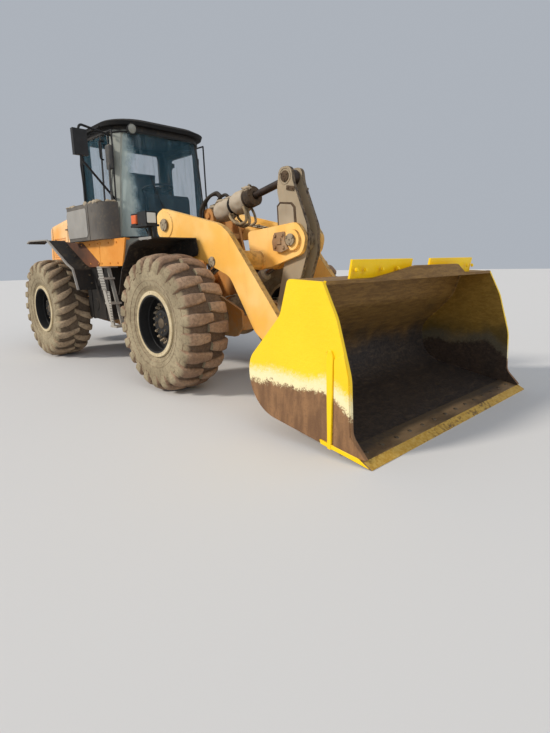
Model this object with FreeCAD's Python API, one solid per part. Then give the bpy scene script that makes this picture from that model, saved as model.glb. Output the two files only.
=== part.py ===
import FreeCAD, Part
import math
import os

V = FreeCAD.Vector

# A wheel loader that steers by folding at a hitch between its two halves.
# Millimetres and degrees. X forward, Y to the machine's left, Z up, ground at Z 0.
# Stations of the rear half are measured from the hitch, those of the front half from the
# front axle. The origin is on the ground, in the middle of the machine's box.

# Running gear
wheelbase = 3250
rear_overhang = 1700
half_track = 1000
tyre_radius = 735
tyre_width = 520
crown_radius = 692
crown_half = 212
crown_groove_half = 10
lug_end_radius = 606
lugs_each_side = 22
front_lug_slant = 2
rear_lug_slant = 12
sidewall_radius = 540
rim_radius = 330
rim_width = 410
rim_wall = 36
rim_flange = 22
rim_disc = 22
rim_disc_inset = 150
hub_radius = 165
hub_reach = 150
spindle_radius = 70
axle_end_radius = 150
axle_tube_radius = 115
axle_cone_root = 176
axle_cone_end = 125
axle_end_length = 210
differential_radius = 245
shaft_radius = 45
joint_ball_radius = 62

# Play between pieces that turn or slide on each other, and at seats
pin_play = 0.4
seat = 0.3
side_play = 6

# Frames
frame_half = 300
frame_plate = 35
frame_bottom = 520
frame_top = 1080
front_frame_nose = 400
neck_front = 450
neck_rear = 780
rear_frame_end = 2690
hitch_pin_radius = 45
hitch_boss_radius = 120
tongue_plate = 50
clevis_plate = 40
lower_hitch_z = 545
upper_hitch_z = 1015
steer_z = 780
steer_base_back = 660
steer_eye_ahead = 300
steer_side = 360
steer_barrel_radius = 52
steer_rod_radius = 28
steer_barrel_length = 605
steer_rod_length = 638

# Loader linkage, stations from the front axle and heights above the ground
arm_pivot = (-600, 1810)
arm_outer = 620
arm_plate = 65
arm_boss_radius = 150
arm_pin_radius = 45
bucket_pin = (1550, 430)
bucket_pin_radius = 40
arm_tip_radius = 122
cross_tube = (500, 1380)
cross_tube_radius = 100
crank_pivot = (1030, 1570)
crank_top = (878, 2210)
crank_low = (833, 806)
crank_plate = 42
crank_gap = 116
crank_top_radius = 112
crank_low_radius = 110
crank_hub_radius = 165
carrier_plate = 45
link_pin_radius = 34
link_width = 104
link_depth = 110
link_boss_radius = 92
tilt_base = (-460, 1930)
tilt_barrel_radius = 98
tilt_barrel_length = 780
tilt_rod_radius = 40
tilt_rod_length = 840
tilt_eye_width = 90
tilt_eye_radius = 78
lift_base = (-950, 720)
lift_eye = (270, 1370)
lift_side = 455
lift_barrel_radius = 68
lift_barrel_length = 1040
tilt_seat_z = 1720
tilt_lug_plate = 40
lift_rod_radius = 35
lift_rod_length = 1170
lift_eye_width = 80
lift_eye_radius = 80

# Bucket, in its own frame: back from the tip of its edge, and up from its floor
bucket_width = 2720
bucket_depth = 1262
bucket_plate = 22
bucket_side = 30
heel_radius = 340
heel_height = 400
back_bend = 180
back_knee = (985, 805)
bucket_top_back = 950
bucket_lip_height = 1120
bucket_lip_back = 630
top_slope = 40
bucket_pin_back = 1368
bucket_pin_up = 194
bucket_link_pin_back = 1403
bucket_link_pin_up = 466
bucket_ear = 40
edge_width = 250
edge_plate = 32
edge_bevel = 70
lip_rise = 85
lip_plate = 20
guard_inner = 150
guard_outer = 980
guard_height = 130
guard_setback = 60
guard_plate = 18

# Cab, stations from the hitch
cab_floor = 1400
cab_floor_plate = 40
cab_sill = 1715
cab_top = 3100
cab_front_low = 330
cab_front_high = 155
cab_rear = -975
cab_half_low = 740
cab_half_high = 705
cab_corner = 400
cab_wall = 50
glass_plate = 10
door_gap = 10
door_hinge_out = 20
door_hinge_radius = 13
door_hinge_heights = (1560, cab_top - 200)
roof_rise = 85
roof_front = 230
roof_corner = 400
roof_rear = -1060
roof_half = 765

# Hood, counterweight and the panels beside the cab
hood_front = -1110
hood_rear = -2830
hood_half = 575
hood_half_top = 500
hood_base = 1330
hood_front_top = 2290
hood_rear_top = 2080
hood_wall = 30
counterweight_half = 800
counterweight_bottom = 640
hood_seat_gap = 20
counterweight_top = hood_base - hood_seat_gap
platform_half = 850
platform_front = 440
platform_rear = -735
platform_bottom = 1350
platform_top = 1695
left_platform_top = 1425
tank_tyre_gap = 40
tank_rear = tyre_radius + tank_tyre_gap - wheelbase / 2
tank_front = -170
tank_inner = 570
tank_outer = 830
tank_bottom = 620
hood_hinge_back = 60
hood_hinge_drop = 110
hood_pin_radius = 16
hood_lug = 345
hood_lug_plate = 30
engine_half = 270
panel = 20
fender_sheet = 12
fender_inner = 650
front_fender_outer = 1200
fender_front = 50
rear_fender_outer = 1100
lamp_side = 1100
lamp_bottom = 1750
corner_post = 50
post_width = 130
rear_post = -880
rear_window_half = 560
header = 70
door_frame = 70
seat_station = -520
column_station = 60
wheel_height = 2400
air_unit_front = 150
air_unit_rear = -1000
air_unit_outer = 975
air_unit_top = 2150
step_outer = 975
step_width = 150
step_depth = 170
tow_bore_radius = 20.5
grille_half = 400
grille_rise = 150
grille_bottom = hood_base + grille_rise
grille_top = 1940
grille_slats = 8
mirror_side = 1190
mirror_half = 85
mirror_station = 180
mirror_top = 2940
mirror_height = 290

# Places that follow from the sizes above
hitch_to_axle = wheelbase / 2
pin_radius_in_bucket = math.hypot(bucket_pin_back, bucket_pin_up)
pin_slope = math.degrees(math.atan2(bucket_pin_up, bucket_pin_back))
bucket_tip_down = math.degrees(math.asin(bucket_pin[1] / pin_radius_in_bucket)) - pin_slope
tip_cos = math.cos(math.radians(bucket_tip_down))
tip_sin = math.sin(math.radians(bucket_tip_down))
edge_reach = bucket_pin_back * tip_cos - bucket_pin_up * tip_sin
front_reach = hitch_to_axle + bucket_pin[0] + edge_reach
rear_reach = hitch_to_axle + rear_overhang
hitch_x = (rear_reach - front_reach) / 2
front_axle_x = hitch_x + hitch_to_axle
rear_axle_x = hitch_x - hitch_to_axle
edge_tip_x = hitch_x + front_reach
arm_inner = arm_outer - arm_plate
bead_half = rim_width / 2
bead_top = rim_radius + rim_flange + 8
bead_ring = (rim_radius + seat) / math.cos(math.pi / (2 * lugs_each_side))
hub_face = half_track + bead_half - rim_disc_inset
wheel_side = hub_face - hub_reach - side_play
axle_cone_start = differential_radius * 0.6
axle_cone_length = wheel_side - axle_end_length - axle_cone_start
axle_cone_share = (frame_half - axle_cone_start) / axle_cone_length
axle_seat_radius = axle_cone_root - (axle_cone_root - axle_cone_end) * axle_cone_share + seat


def front(station):
    """X of a station measured forward from the front axle."""
    return front_axle_x + station


def rear(station):
    """X of a station measured forward from the hitch."""
    return hitch_x + station


def box(x0, x1, y0, y1, z0, z1):
    return Part.makeBox(x1 - x0, y1 - y0, z1 - z0, V(x0, y0, z0))


def mirrored(shape):
    return shape.mirror(V(0, 0, 0), V(0, 1, 0))


def both(shape):
    """The shape and its mirror image on the machine's other side, as separate solids."""
    return [shape, mirrored(shape)]


def fused(shapes):
    whole = shapes[0].multiFuse(shapes[1:]) if len(shapes) > 1 else shapes[0]
    return whole.removeSplitter()


def disc(x, z, radius, y0, y1):
    """A cylinder across the machine from y0 to y1."""
    return Part.makeCylinder(radius, y1 - y0, V(x, y0, z), V(0, 1, 0))


def post(x, y, radius, z0, z1):
    return Part.makeCylinder(radius, z1 - z0, V(x, y, z0))


def bar(start, end, radius):
    """A round bar between two points."""
    along = end - start
    return Part.makeCylinder(radius, along.Length, start, along)


def rounded_wire(corners):
    """A closed outline of lines and arcs in the XZ plane; a corner is (x, z, radius)."""
    spans = []
    count = len(corners)
    for index, (x, z, radius) in enumerate(corners):
        here = V(x, 0, z)
        last = corners[index - 1]
        following = corners[(index + 1) % count]
        back = (V(last[0], 0, last[1]) - here).normalize()
        ahead = (V(following[0], 0, following[1]) - here).normalize()
        if radius == 0:
            spans.append((here, None, here))
            continue
        half_angle = back.getAngle(ahead) / 2
        reach = radius / math.tan(half_angle)
        inward = (back + ahead).normalize()
        middle = here + inward * (radius / math.sin(half_angle) - radius)
        spans.append((here + back * reach, middle, here + ahead * reach))
    edges = []
    for index, (start, middle, end) in enumerate(spans):
        if middle is not None:
            edges.append(Part.Arc(start, middle, end).toShape())
        next_start = spans[(index + 1) % count][0]
        if end.distanceToPoint(next_start) > 0.001:
            edges.append(Part.LineSegment(end, next_start).toShape())
    return Part.Wire(edges)


def plate(corners, y0, y1):
    """A plate with its outline in the XZ plane, from y0 to y1."""
    solid = Part.Face(rounded_wire(corners)).extrude(V(0, y1 - y0, 0))
    solid.translate(V(0, y0, 0))
    return solid


def slab(corners, z0, z1):
    """A plate lying flat; a corner is (x, y, radius)."""
    solid = plate(corners, 0, z1 - z0)
    solid.rotate(V(0, 0, 0), V(1, 0, 0), -90)
    solid.translate(V(0, 0, z1))
    return solid


def mirrored_corners(corners):
    """The corners of one half of a slab followed by their mirror image."""
    return corners + [(x, -y, radius) for x, y, radius in reversed(corners)]


def spun(corners, x, y, z, outward=1):
    """A ring or disc turned about an axle; a corner is (radius, outward distance, fillet)."""
    solid = Part.Face(rounded_wire(corners)).revolve(V(0, 0, 0), V(0, 0, 1), 360)
    solid.rotate(V(0, 0, 0), V(1, 0, 0), -90)
    if outward < 0:
        solid = mirrored(solid)
    solid.translate(V(x, y, z))
    return solid


def bent_bar(points, radius, bend):
    """A round bar through the points, with an arc of radius bend at each inner one."""
    edges = []
    start = points[0]
    for index in range(1, len(points) - 1):
        here = points[index]
        back = (points[index - 1] - here).normalize()
        ahead = (points[index + 1] - here).normalize()
        half_angle = back.getAngle(ahead) / 2
        reach = bend / math.tan(half_angle)
        inward = (back + ahead).normalize()
        middle = here + inward * (bend / math.sin(half_angle) - bend)
        edges.append(Part.LineSegment(start, here + back * reach).toShape())
        edges.append(Part.Arc(here + back * reach, middle, here + ahead * reach).toShape())
        start = here + ahead * reach
    edges.append(Part.LineSegment(start, points[-1]).toShape())
    path = Part.Wire(edges)
    along = (points[1] - points[0]).normalize()
    ring = Part.Wire([Part.Circle(points[0], along, radius).toShape()])
    return path.makePipeShell([ring], True, False)


def place(station_and_height):
    """The X and Z of a point given by its station from the front axle and its height."""
    return (front(station_and_height[0]), station_and_height[1])


def towards(start, end):
    """The unit vector in the XZ plane from one place to another."""
    return V(end[0] - start[0], 0, end[1] - start[1]).normalize()


def in_bucket(shape):
    """Carry a shape from the bucket's own frame to where the bucket rests on its edge."""
    shape.rotate(V(0, 0, 0), V(0, 1, 0), bucket_tip_down)
    shape.translate(V(edge_tip_x, 0, 0))
    return shape


def bucket_point(back, up):
    """The X and Z on the machine of a point given in the bucket's own frame."""
    return (edge_tip_x - back * tip_cos + up * tip_sin, back * tip_sin + up * tip_cos)


def tyre_rings(slant):
    """The tyre's section at each half pitch, before and after the step from groove to lug.

    The two flanks swap lug and groove at every half pitch, so their lugs are staggered.
    """
    # radius in a groove, radius on a lug, distance from the middle, share of the slant
    half_section = (
        (bead_ring, bead_ring, bead_half, 0),
        (bead_top, bead_top, bead_half, 0),
        (sidewall_radius, sidewall_radius, tyre_width / 2, 0.8),
        (lug_end_radius, lug_end_radius, tyre_width / 2, 0.9),
        (crown_radius, tyre_radius, crown_half, 1),
        (crown_radius, tyre_radius, crown_groove_half, 0),
        (crown_radius, crown_radius, crown_groove_half, 0),
    )
    pitch = 2 * math.pi / (2 * lugs_each_side)
    rings = []
    for index in range(2 * lugs_each_side):
        pair = []
        for lug_side in (1 - 2 * (index % 2), 2 * (index % 2) - 1):
            ring = []
            for side, rows in ((-1, half_section), (1, half_section[::-1])):
                for in_groove, on_lug, across, share in rows:
                    radius = on_lug if side == lug_side else in_groove
                    angle = pitch * index + math.radians(slant) * share
                    ring.append(V(radius * math.sin(angle), side * across,
                                  -radius * math.cos(angle)))
            pair.append(ring)
        rings.append(pair)
    return rings


def facets(near, far):
    """The flat triangles between two rings, leaving out those that shrink to a line."""
    made = []
    count = len(near)
    for i in range(count):
        j = (i + 1) % count
        for corners in ((near[i], near[j], far[j]), (near[i], far[j], far[i])):
            a, b, c = corners
            if (b - a).cross(c - a).Length > 1:
                made.append(Part.Face(Part.makePolygon([a, b, c, a])))
    return made


def lugged_tyre(slant):
    """A tyre about the origin, flat-sided between stations, with lugs staggered left and right."""
    rings = tyre_rings(slant)
    faces = []
    for index, (before, after) in enumerate(rings):
        following = rings[(index + 1) % len(rings)][0]
        faces += facets(before, after)
        faces += facets(after, following)
    sewn = Part.makeCompound(faces)
    sewn.sewShape(0.01)
    solid = Part.makeSolid(sewn.Shells[0])
    if solid.Volume < 0:
        solid.reverse()
    return solid


def tyre(pattern, x, side):
    """A finished tyre set in its place, turned so that its lugs point the right way."""
    shape = pattern.copy()
    if side < 0:
        shape = mirrored(shape)
    shape.translate(V(x, side * half_track, tyre_radius))
    return shape


def rim(x, side):
    """A rim with its well, disc and the hub cover that turns on the axle's spindle."""
    flange_top = rim_radius + rim_flange
    inner = rim_radius - rim_wall
    lip = bead_half + seat
    barrel = [
        (inner, -lip - rim_flange, 0),
        (flange_top, -lip - rim_flange, 10),
        (flange_top, -lip, 0),
        (rim_radius, -lip, 0),
        (rim_radius, lip, 0),
        (flange_top, lip, 0),
        (flange_top, lip + rim_flange, 10),
        (inner, lip + rim_flange, 0),
    ]
    disc_face = bead_half - rim_disc_inset
    centre = [
        (spindle_radius + pin_play, disc_face - hub_reach, 0),
        (hub_radius, disc_face - hub_reach, 12),
        (hub_radius, disc_face - rim_disc, 0),
        (inner + 2, disc_face - rim_disc, 0),
        (inner + 2, disc_face, 0),
        (hub_radius, disc_face, 0),
        (hub_radius - 25, disc_face + hub_reach / 2, 15),
        (0, disc_face + hub_reach / 2, 0),
        (0, disc_face, 0),
        (spindle_radius + pin_play, disc_face, 0),
    ]
    ring = spun(barrel, x, side * half_track, tyre_radius, side)
    hub = spun(centre, x, side * half_track, tyre_radius, side)
    return fused([ring, hub])


def axle(x, shaft_end):
    """A rigid axle with its differential, spindles and the driveline half that feeds it."""
    centre = V(x, 0, tyre_radius)
    pieces = [Part.makeSphere(differential_radius, centre)]
    pieces.append(disc(x, tyre_radius, axle_tube_radius, -wheel_side, wheel_side))
    for side in (1, -1):
        start = V(x, side * axle_cone_start, tyre_radius)
        pieces.append(Part.makeCone(axle_cone_root, axle_cone_end, axle_cone_length,
                                    start, V(0, side, 0)))
        near, far = sorted((side * (wheel_side - axle_end_length), side * wheel_side))
        pieces.append(disc(x, tyre_radius, axle_end_radius, near, far))
    spindle_end = hub_face - side_play
    pieces.append(disc(x, tyre_radius, spindle_radius, -spindle_end, spindle_end))
    pieces.append(bar(centre, V(shaft_end, 0, steer_z), shaft_radius))
    return fused(pieces)


def front_axle():
    ball = Part.makeSphere(joint_ball_radius, V(hitch_x, 0, steer_z))
    return fused([axle(front_axle_x, hitch_x), ball])


def rear_axle():
    return axle(rear_axle_x, hitch_x - joint_ball_radius - side_play)


def hinge_plate(reach, z0, z1, bore):
    """A flat hitch plate that tapers from the frame, at x reach, to its boss at the hitch."""
    toward = math.copysign(1, reach)
    frame_edge = frame_half + frame_plate
    corners = mirrored_corners([
        (reach, frame_edge, 0),
        (reach - toward * 60, frame_edge, 60),
        (0, hitch_boss_radius, 0),
    ])
    body = slab(corners, z0, z1)
    body = body.fuse(post(0, 0, hitch_boss_radius, z0, z1))
    body = body.cut(post(0, 0, bore, z0 - 1, z1 + 1))
    body.translate(V(hitch_x, 0, 0))
    return body


def steering_lugs(pin_station, bulkhead_station):
    """Two lugs a side that hold a steering cylinder's eye between them."""
    eye_half = 30
    thick = 20
    outer = 48
    lugs = []
    toward = math.copysign(1, bulkhead_station - pin_station)
    for z0 in (steer_z - eye_half - side_play - thick, steer_z + eye_half + side_play):
        root = slab([
            (bulkhead_station, steer_side - outer, 0),
            (bulkhead_station, steer_side + outer, 0),
            (pin_station - toward, steer_side + outer, 0),
            (pin_station - toward, steer_side - outer, 0),
        ], z0, z0 + thick)
        lug = root.fuse(post(pin_station, steer_side, outer, z0, z0 + thick))
        lug.translate(V(hitch_x, 0, 0))
        lugs += both(lug)
    return lugs


def steering_pin_stubs(pin_station, through):
    """The pins in the lugs; a through pin also carries its eye, an open one stops short."""
    eye_half = 30
    top = eye_half + side_play + 30
    stubs = []
    spans = [(-top, top)] if through else [(-top, -eye_half - side_play), (eye_half + side_play, top)]
    for low, high in spans:
        stub = post(hitch_x + pin_station, steer_side, 22, steer_z + low, steer_z + high)
        stubs += both(stub)
    return stubs


def front_frame():
    bulkhead = front(neck_front - hitch_to_axle)
    nose = front(front_frame_nose)
    side_outline = [
        (bulkhead, frame_bottom, 0),
        (nose - 120, frame_bottom, 80),
        (nose, 640, 60),
        (nose, 820, 60),
        (front(0) + 60, 960, 150),
        (front(-430), 1180, 200),
        (bulkhead, frame_top + 60, 0),
    ]
    axle_hole = disc(front_axle_x, tyre_radius, axle_seat_radius, 0, frame_half * 2)
    side_plate = plate(side_outline, frame_half, frame_half + frame_plate).cut(axle_hole)
    pivot = place(arm_pivot)
    tower_outline = [
        (front(-1010), 1000, 0),
        (front(-250), 1000, 60),
        (front(-270), 1500, 120),
        (pivot[0] + 215, 1890, 60),
        (pivot[0] - 60, 1945, 60),
        (pivot[0] - 170, pivot[1] - 60, 80),
        (front(-1010), 1250, 60),
    ]
    tower = plate(tower_outline, frame_half, frame_half + frame_plate)
    pieces = both(side_plate) + both(tower)
    inner = frame_half + 1
    pieces.append(box(bulkhead - 30, bulkhead, -frame_half - frame_plate, frame_half + frame_plate,
                      lower_hitch_z - tongue_plate / 2, frame_top + 60))
    pieces.append(box(bulkhead - 5, front(-280), -inner, inner, frame_bottom, frame_bottom + 25))
    pieces.append(box(nose - 60, nose - 30, -inner, inner, 600, 760))
    pieces.append(disc(front(-880), 1180, 70, -inner, inner))
    base = place(tilt_base)
    for side in (1, -1):
        gap = tilt_eye_width / 2 + side_play
        low, high = sorted((side * gap, side * (gap + tilt_lug_plate)))
        lug_outline = [
            (base[0] - 150, tilt_seat_z, 0),
            (base[0] - 90, base[1] + 85, 85),
            (base[0] + 85, base[1] + 85, 85),
            (base[0] + 110, tilt_seat_z, 0),
        ]
        pieces.append(plate(lug_outline, low, high))
        low, high = sorted((side * (frame_half + frame_plate - 1), side * (arm_inner - side_play)))
        pieces.append(disc(pivot[0], pivot[1], 70, low, high))
        low, high = sorted((side * (frame_half - 1), side * (frame_half + frame_plate + 35)))
        pieces.append(disc(pivot[0], pivot[1], 130, low, high))
        low, high = sorted((side * (frame_half + frame_plate - 1), side * (arm_outer + 25)))
        pieces.append(disc(pivot[0], pivot[1], arm_pin_radius, low, high))
        cylinder_base = place(lift_base)
        low, high = sorted((side * (frame_half + frame_plate - 1),
                            side * (lift_side + lift_eye_width / 2 + 10)))
        pieces.append(disc(cylinder_base[0], cylinder_base[1], 40, low, high))
    lug_outer = tilt_eye_width / 2 + side_play + tilt_lug_plate
    pieces.append(disc(base[0], base[1], 38, -lug_outer - 20, lug_outer + 20))
    pieces.append(box(base[0] - 170, base[0] + 120, -inner, inner, tilt_seat_z - 60,
                      tilt_seat_z + 1))
    tongue = hinge_plate(neck_front - 20, lower_hitch_z - tongue_plate / 2,
                         lower_hitch_z + tongue_plate / 2, hitch_pin_radius + pin_play)
    top_tongue = hinge_plate(neck_front - 20, upper_hitch_z - tongue_plate / 2,
                             upper_hitch_z + tongue_plate / 2, hitch_pin_radius + pin_play)
    pieces += [tongue, top_tongue]
    pieces += steering_lugs(steer_eye_ahead, neck_front - 10)
    pieces += steering_pin_stubs(steer_eye_ahead, False)
    frame = fused(pieces)
    shaft_way = bar(V(bulkhead - 60, 0, steer_z), V(front(-300), 0, steer_z), shaft_radius + 30)
    return frame.cut(shaft_way)


def rear_frame():
    bulkhead = rear(-neck_rear)
    end = rear(-rear_frame_end)
    side_outline = [
        (bulkhead, lower_hitch_z - 100, 0),
        (bulkhead, frame_top + 40, 0),
        (end, frame_top + 40, 40),
        (end, 700, 40),
        (rear_axle_x - 420, 520, 100),
        (rear_axle_x + 420, 470, 100),
    ]
    axle_hole = disc(rear_axle_x, tyre_radius, axle_seat_radius, 0, frame_half * 2)
    side_plate = plate(side_outline, frame_half, frame_half + frame_plate).cut(axle_hole)
    inner = frame_half + 1
    pieces = both(side_plate)
    pieces.append(box(bulkhead, bulkhead + 30, -frame_half - frame_plate, frame_half + frame_plate,
                      lower_hitch_z - 100, frame_top + 40))
    pieces.append(box(end, end + 40, -inner, inner, 720, frame_top))
    pieces.append(box(rear_axle_x + 330, rear_axle_x + 370, -inner, inner, 560, 690))
    pieces.append(box(rear_axle_x - 370, rear_axle_x - 330, -inner, inner, 660, 800))
    for centre in (lower_hitch_z, upper_hitch_z):
        gap = tongue_plate / 2 + side_play
        for z0 in (centre - gap - clevis_plate, centre + gap):
            pieces.append(hinge_plate(-neck_rear + 20, z0, z0 + clevis_plate,
                                      hitch_pin_radius - 5))
        reach = gap + clevis_plate + 15
        pieces.append(post(hitch_x, 0, hitch_pin_radius, centre - reach, centre + reach))
    pieces += steering_lugs(-steer_base_back, -neck_rear + 10)
    pieces += steering_pin_stubs(-steer_base_back, True)
    clevis_top = upper_hitch_z + tongue_plate / 2 + side_play + clevis_plate
    for station, across, foot in ((-200, 130, clevis_top - 1), (-840, frame_half + 15, frame_top)):
        for side in (1, -1):
            pieces.append(post(rear(station), side * across, 40, foot, cab_floor - seat))
    hinge = (rear(hood_front - hood_hinge_back), hood_front_top - hood_hinge_drop)
    hinge_post = box(hinge[0] - 35, hinge[0] + 35, frame_half, frame_half + frame_plate,
                     frame_top, hinge[1] + 30)
    hinge_pin = disc(hinge[0], hinge[1], hood_pin_radius, frame_half, hood_lug + hood_lug_plate + 10)
    pieces += both(hinge_post) + both(hinge_pin)
    frame = fused(pieces)
    shaft_way = bar(V(bulkhead - 10, 0, steer_z), V(bulkhead + 50, 0, steer_z), shaft_radius + 30)
    return frame.cut(shaft_way)


def arm_outline():
    return [
        (front(-790), 1950, 100),
        (front(-640), 2000, 60),
        (front(500), 1735, 500),
        (front(1330), 752, 300),
        (front(1600), 526, 60),
        (front(1560), 330, 60),
        (front(1440), 322, 120),
        (front(925), 665, 260),
        (front(560), 1215, 200),
        (front(90), 1390, 300),
        (front(-110), 1415, 200),
        (front(-460), 1655, 200),
        (front(-790), 1670, 100),
    ]


def lift_arms():
    """Two arm plates joined by a cross tube that carries the bell crank between two ears."""
    pivot = place(arm_pivot)
    tip = place(bucket_pin)
    rod_eye = place(lift_eye)
    tube = place(cross_tube)
    crank = place(crank_pivot)
    pieces = []
    arm = plate(arm_outline(), arm_inner, arm_outer)
    arm = arm.fuse(disc(pivot[0], pivot[1], arm_boss_radius, arm_inner, arm_outer + 8))
    arm = arm.fuse(disc(tip[0], tip[1], arm_tip_radius, arm_inner, arm_outer + 8))
    arm = arm.cut(disc(pivot[0], pivot[1], arm_pin_radius + pin_play, 0, arm_outer + 50))
    arm = arm.cut(disc(tip[0], tip[1], bucket_pin_radius + pin_play, 0, arm_outer + 50))
    stub_end = lift_side + lift_eye_width / 2 + side_play
    arm = arm.fuse(disc(rod_eye[0], rod_eye[1], lift_eye_radius, stub_end, arm_inner + 5))
    pieces += both(arm)
    pieces.append(disc(tube[0], tube[1], cross_tube_radius, -arm_inner - 5, arm_inner + 5))
    ear_inner = crank_gap / 2 + crank_plate + side_play
    ear_outline = [
        (front(330), 1690, 40),
        (crank[0] + 60, 1745, 120),
        (crank[0] + 175, 1600, 120),
        (crank[0] + 130, 1430, 120),
        (front(700), 1300, 60),
        (front(480), 1275, 80),
        (front(370), 1400, 60),
    ]
    for side in (1, -1):
        low, high = sorted((side * ear_inner, side * (ear_inner + carrier_plate)))
        pieces.append(plate(ear_outline, low, high))
        low, high = sorted((side * ear_inner, side * (ear_inner + carrier_plate + 30)))
        pieces.append(disc(crank[0], crank[1], 105, low, high))
    pin_half = ear_inner + carrier_plate + 45
    pieces.append(disc(crank[0], crank[1], arm_pin_radius, -pin_half, pin_half))
    return fused(pieces)


def bell_crank():
    """Two boomerang plates joined at the hub, forked at both ends."""
    top = place(crank_top)
    pivot = place(crank_pivot)
    low = place(crank_low)
    outline = [
        (top[0] - 85, top[1] + 95, 70),
        (top[0] + 85, top[1] + 95, 70),
        (top[0] + 110, top[1] - 60, 120),
        (pivot[0] + 150, pivot[1] + 130, 200),
        (pivot[0] + 150, pivot[1] - 130, 200),
        (low[0] + 120, low[1] + 30, 110),
        (low[0] + 70, low[1] - 100, 70),
        (low[0] - 90, low[1] - 90, 70),
        (low[0] - 105, low[1] + 80, 120),
        (pivot[0] - 135, pivot[1] - 60, 300),
        (top[0] - 118, top[1] - 120, 250),
    ]
    pieces = []
    for side in (1, -1):
        y0, y1 = sorted((side * crank_gap / 2, side * (crank_gap / 2 + crank_plate)))
        pieces.append(plate(outline, y0, y1))
        y0, y1 = sorted((side * (tilt_eye_width / 2 + side_play), side * (crank_gap / 2 + 5)))
        pieces.append(disc(top[0], top[1], 60, y0, y1))
        y0, y1 = sorted((side * (link_width / 2 + 2), side * (crank_gap / 2 + crank_plate + 4)))
        pieces.append(disc(low[0], low[1], link_pin_radius + 8, y0, y1))
    hub_half = crank_gap / 2 + crank_plate
    pieces.append(disc(pivot[0], pivot[1], crank_hub_radius - 45, -hub_half, hub_half))
    body = fused(pieces)
    return body.cut(disc(pivot[0], pivot[1], arm_pin_radius + pin_play, -300, 300))


def bucket_link():
    """The bar that pulls the bucket; its crank end is open and carries no pin."""
    crank_end = place(crank_low)
    bucket_end = bucket_point(bucket_link_pin_back, bucket_link_pin_up)
    half = link_width / 2
    length = math.hypot(bucket_end[0] - crank_end[0], bucket_end[1] - crank_end[1])
    rise = math.degrees(math.atan2(bucket_end[1] - crank_end[1], bucket_end[0] - crank_end[0]))
    body = plate([
        (0, -link_depth / 2, 0),
        (length, -link_depth / 2, 0),
        (length, link_depth / 2, 0),
        (0, link_depth / 2, 0),
    ], -half + 12, half - 12)
    body.rotate(V(0, 0, 0), V(0, 1, 0), -rise)
    body.translate(V(crank_end[0], 0, crank_end[1]))
    body = body.fuse(disc(crank_end[0], crank_end[1], link_boss_radius, -half, half))
    body = body.fuse(disc(bucket_end[0], bucket_end[1], link_boss_radius, -half, half))
    for end in (crank_end, bucket_end):
        body = body.cut(disc(end[0], end[1], link_pin_radius + pin_play, -200, 200))
    return body.removeSplitter()


def cylinder_barrel(base, aim, y, radius, length, eye_radius, eye_width, pin_radius, rod_radius):
    """A hydraulic barrel with its base eye on the pin and its rod's way cut through."""
    along = towards(base, aim)
    start = V(base[0], y, base[1])
    neck = bar(start + along * (eye_radius * 0.7), start + along * (eye_radius + 40),
               eye_width / 2 - 6)
    tube = bar(start + along * (eye_radius + 30), start + along * length, radius)
    gland = bar(start + along * (length - 90), start + along * length, radius + 12)
    body = tube.fuse([neck, gland, disc(base[0], base[1], eye_radius, y - eye_width / 2,
                                  y + eye_width / 2)])
    body = body.cut(disc(base[0], base[1], pin_radius + pin_play, y - 200, y + 200))
    bore_start = start + along * (eye_radius + 60)
    bore = bar(bore_start, start + along * (length + 10), rod_radius + pin_play)
    return body.cut(bore).removeSplitter()


def cylinder_rod(base, aim, y, radius, length, eye_radius, eye_width, pin_radius):
    """The rod that slides in the barrel, with the eye at its outer end."""
    along = towards(base, aim)
    end = V(aim[0], y, aim[1])
    rod = bar(end - along * length, end, radius)
    body = rod.fuse(disc(aim[0], aim[1], eye_radius, y - eye_width / 2, y + eye_width / 2))
    return body.cut(disc(aim[0], aim[1], pin_radius + pin_play, y - 200, y + 200)).removeSplitter()


def tilt_barrel():
    return cylinder_barrel(place(tilt_base), place(crank_top), 0, tilt_barrel_radius,
                           tilt_barrel_length, 90, tilt_eye_width, 38, tilt_rod_radius)


def tilt_rod():
    return cylinder_rod(place(tilt_base), place(crank_top), 0, tilt_rod_radius, tilt_rod_length,
                        tilt_eye_radius, tilt_eye_width, 38)


def lift_barrels():
    barrel = cylinder_barrel(place(lift_base), place(lift_eye), lift_side, lift_barrel_radius,
                             lift_barrel_length, 80, lift_eye_width, 40, lift_rod_radius)
    return Part.makeCompound(both(barrel))


def lift_rods():
    rod = cylinder_rod(place(lift_base), place(lift_eye), lift_side, lift_rod_radius,
                       lift_rod_length, lift_eye_radius, lift_eye_width, 40)
    return Part.makeCompound(both(rod))


def steering_barrel(side):
    """A steering barrel lying flat, its base eye on the rear half's pin."""
    base = V(rear(-steer_base_back), side * steer_side, steer_z)
    tube = bar(base + V(64, 0, 0), base + V(steer_barrel_length, 0, 0), steer_barrel_radius)
    neck = bar(base + V(30, 0, 0), base + V(70, 0, 0), 24)
    body = tube.fuse([neck, post(base.x, base.y, 42, steer_z - 30, steer_z + 30)])
    body = body.cut(post(base.x, base.y, 22 + pin_play, steer_z - 80, steer_z + 80))
    bore = bar(base + V(71, 0, 0), base + V(steer_barrel_length + 10, 0, 0),
               steer_rod_radius + pin_play)
    return body.cut(bore).removeSplitter()


def steering_rod(side):
    end = V(rear(steer_eye_ahead), side * steer_side, steer_z)
    rod = bar(end - V(steer_rod_length, 0, 0), end - V(20, 0, 0), steer_rod_radius)
    body = rod.fuse(post(end.x, end.y, 42, steer_z - 30, steer_z + 30))
    return body.cut(post(end.x, end.y, 22 + pin_play, steer_z - 80, steer_z + 80)).removeSplitter()


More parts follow.
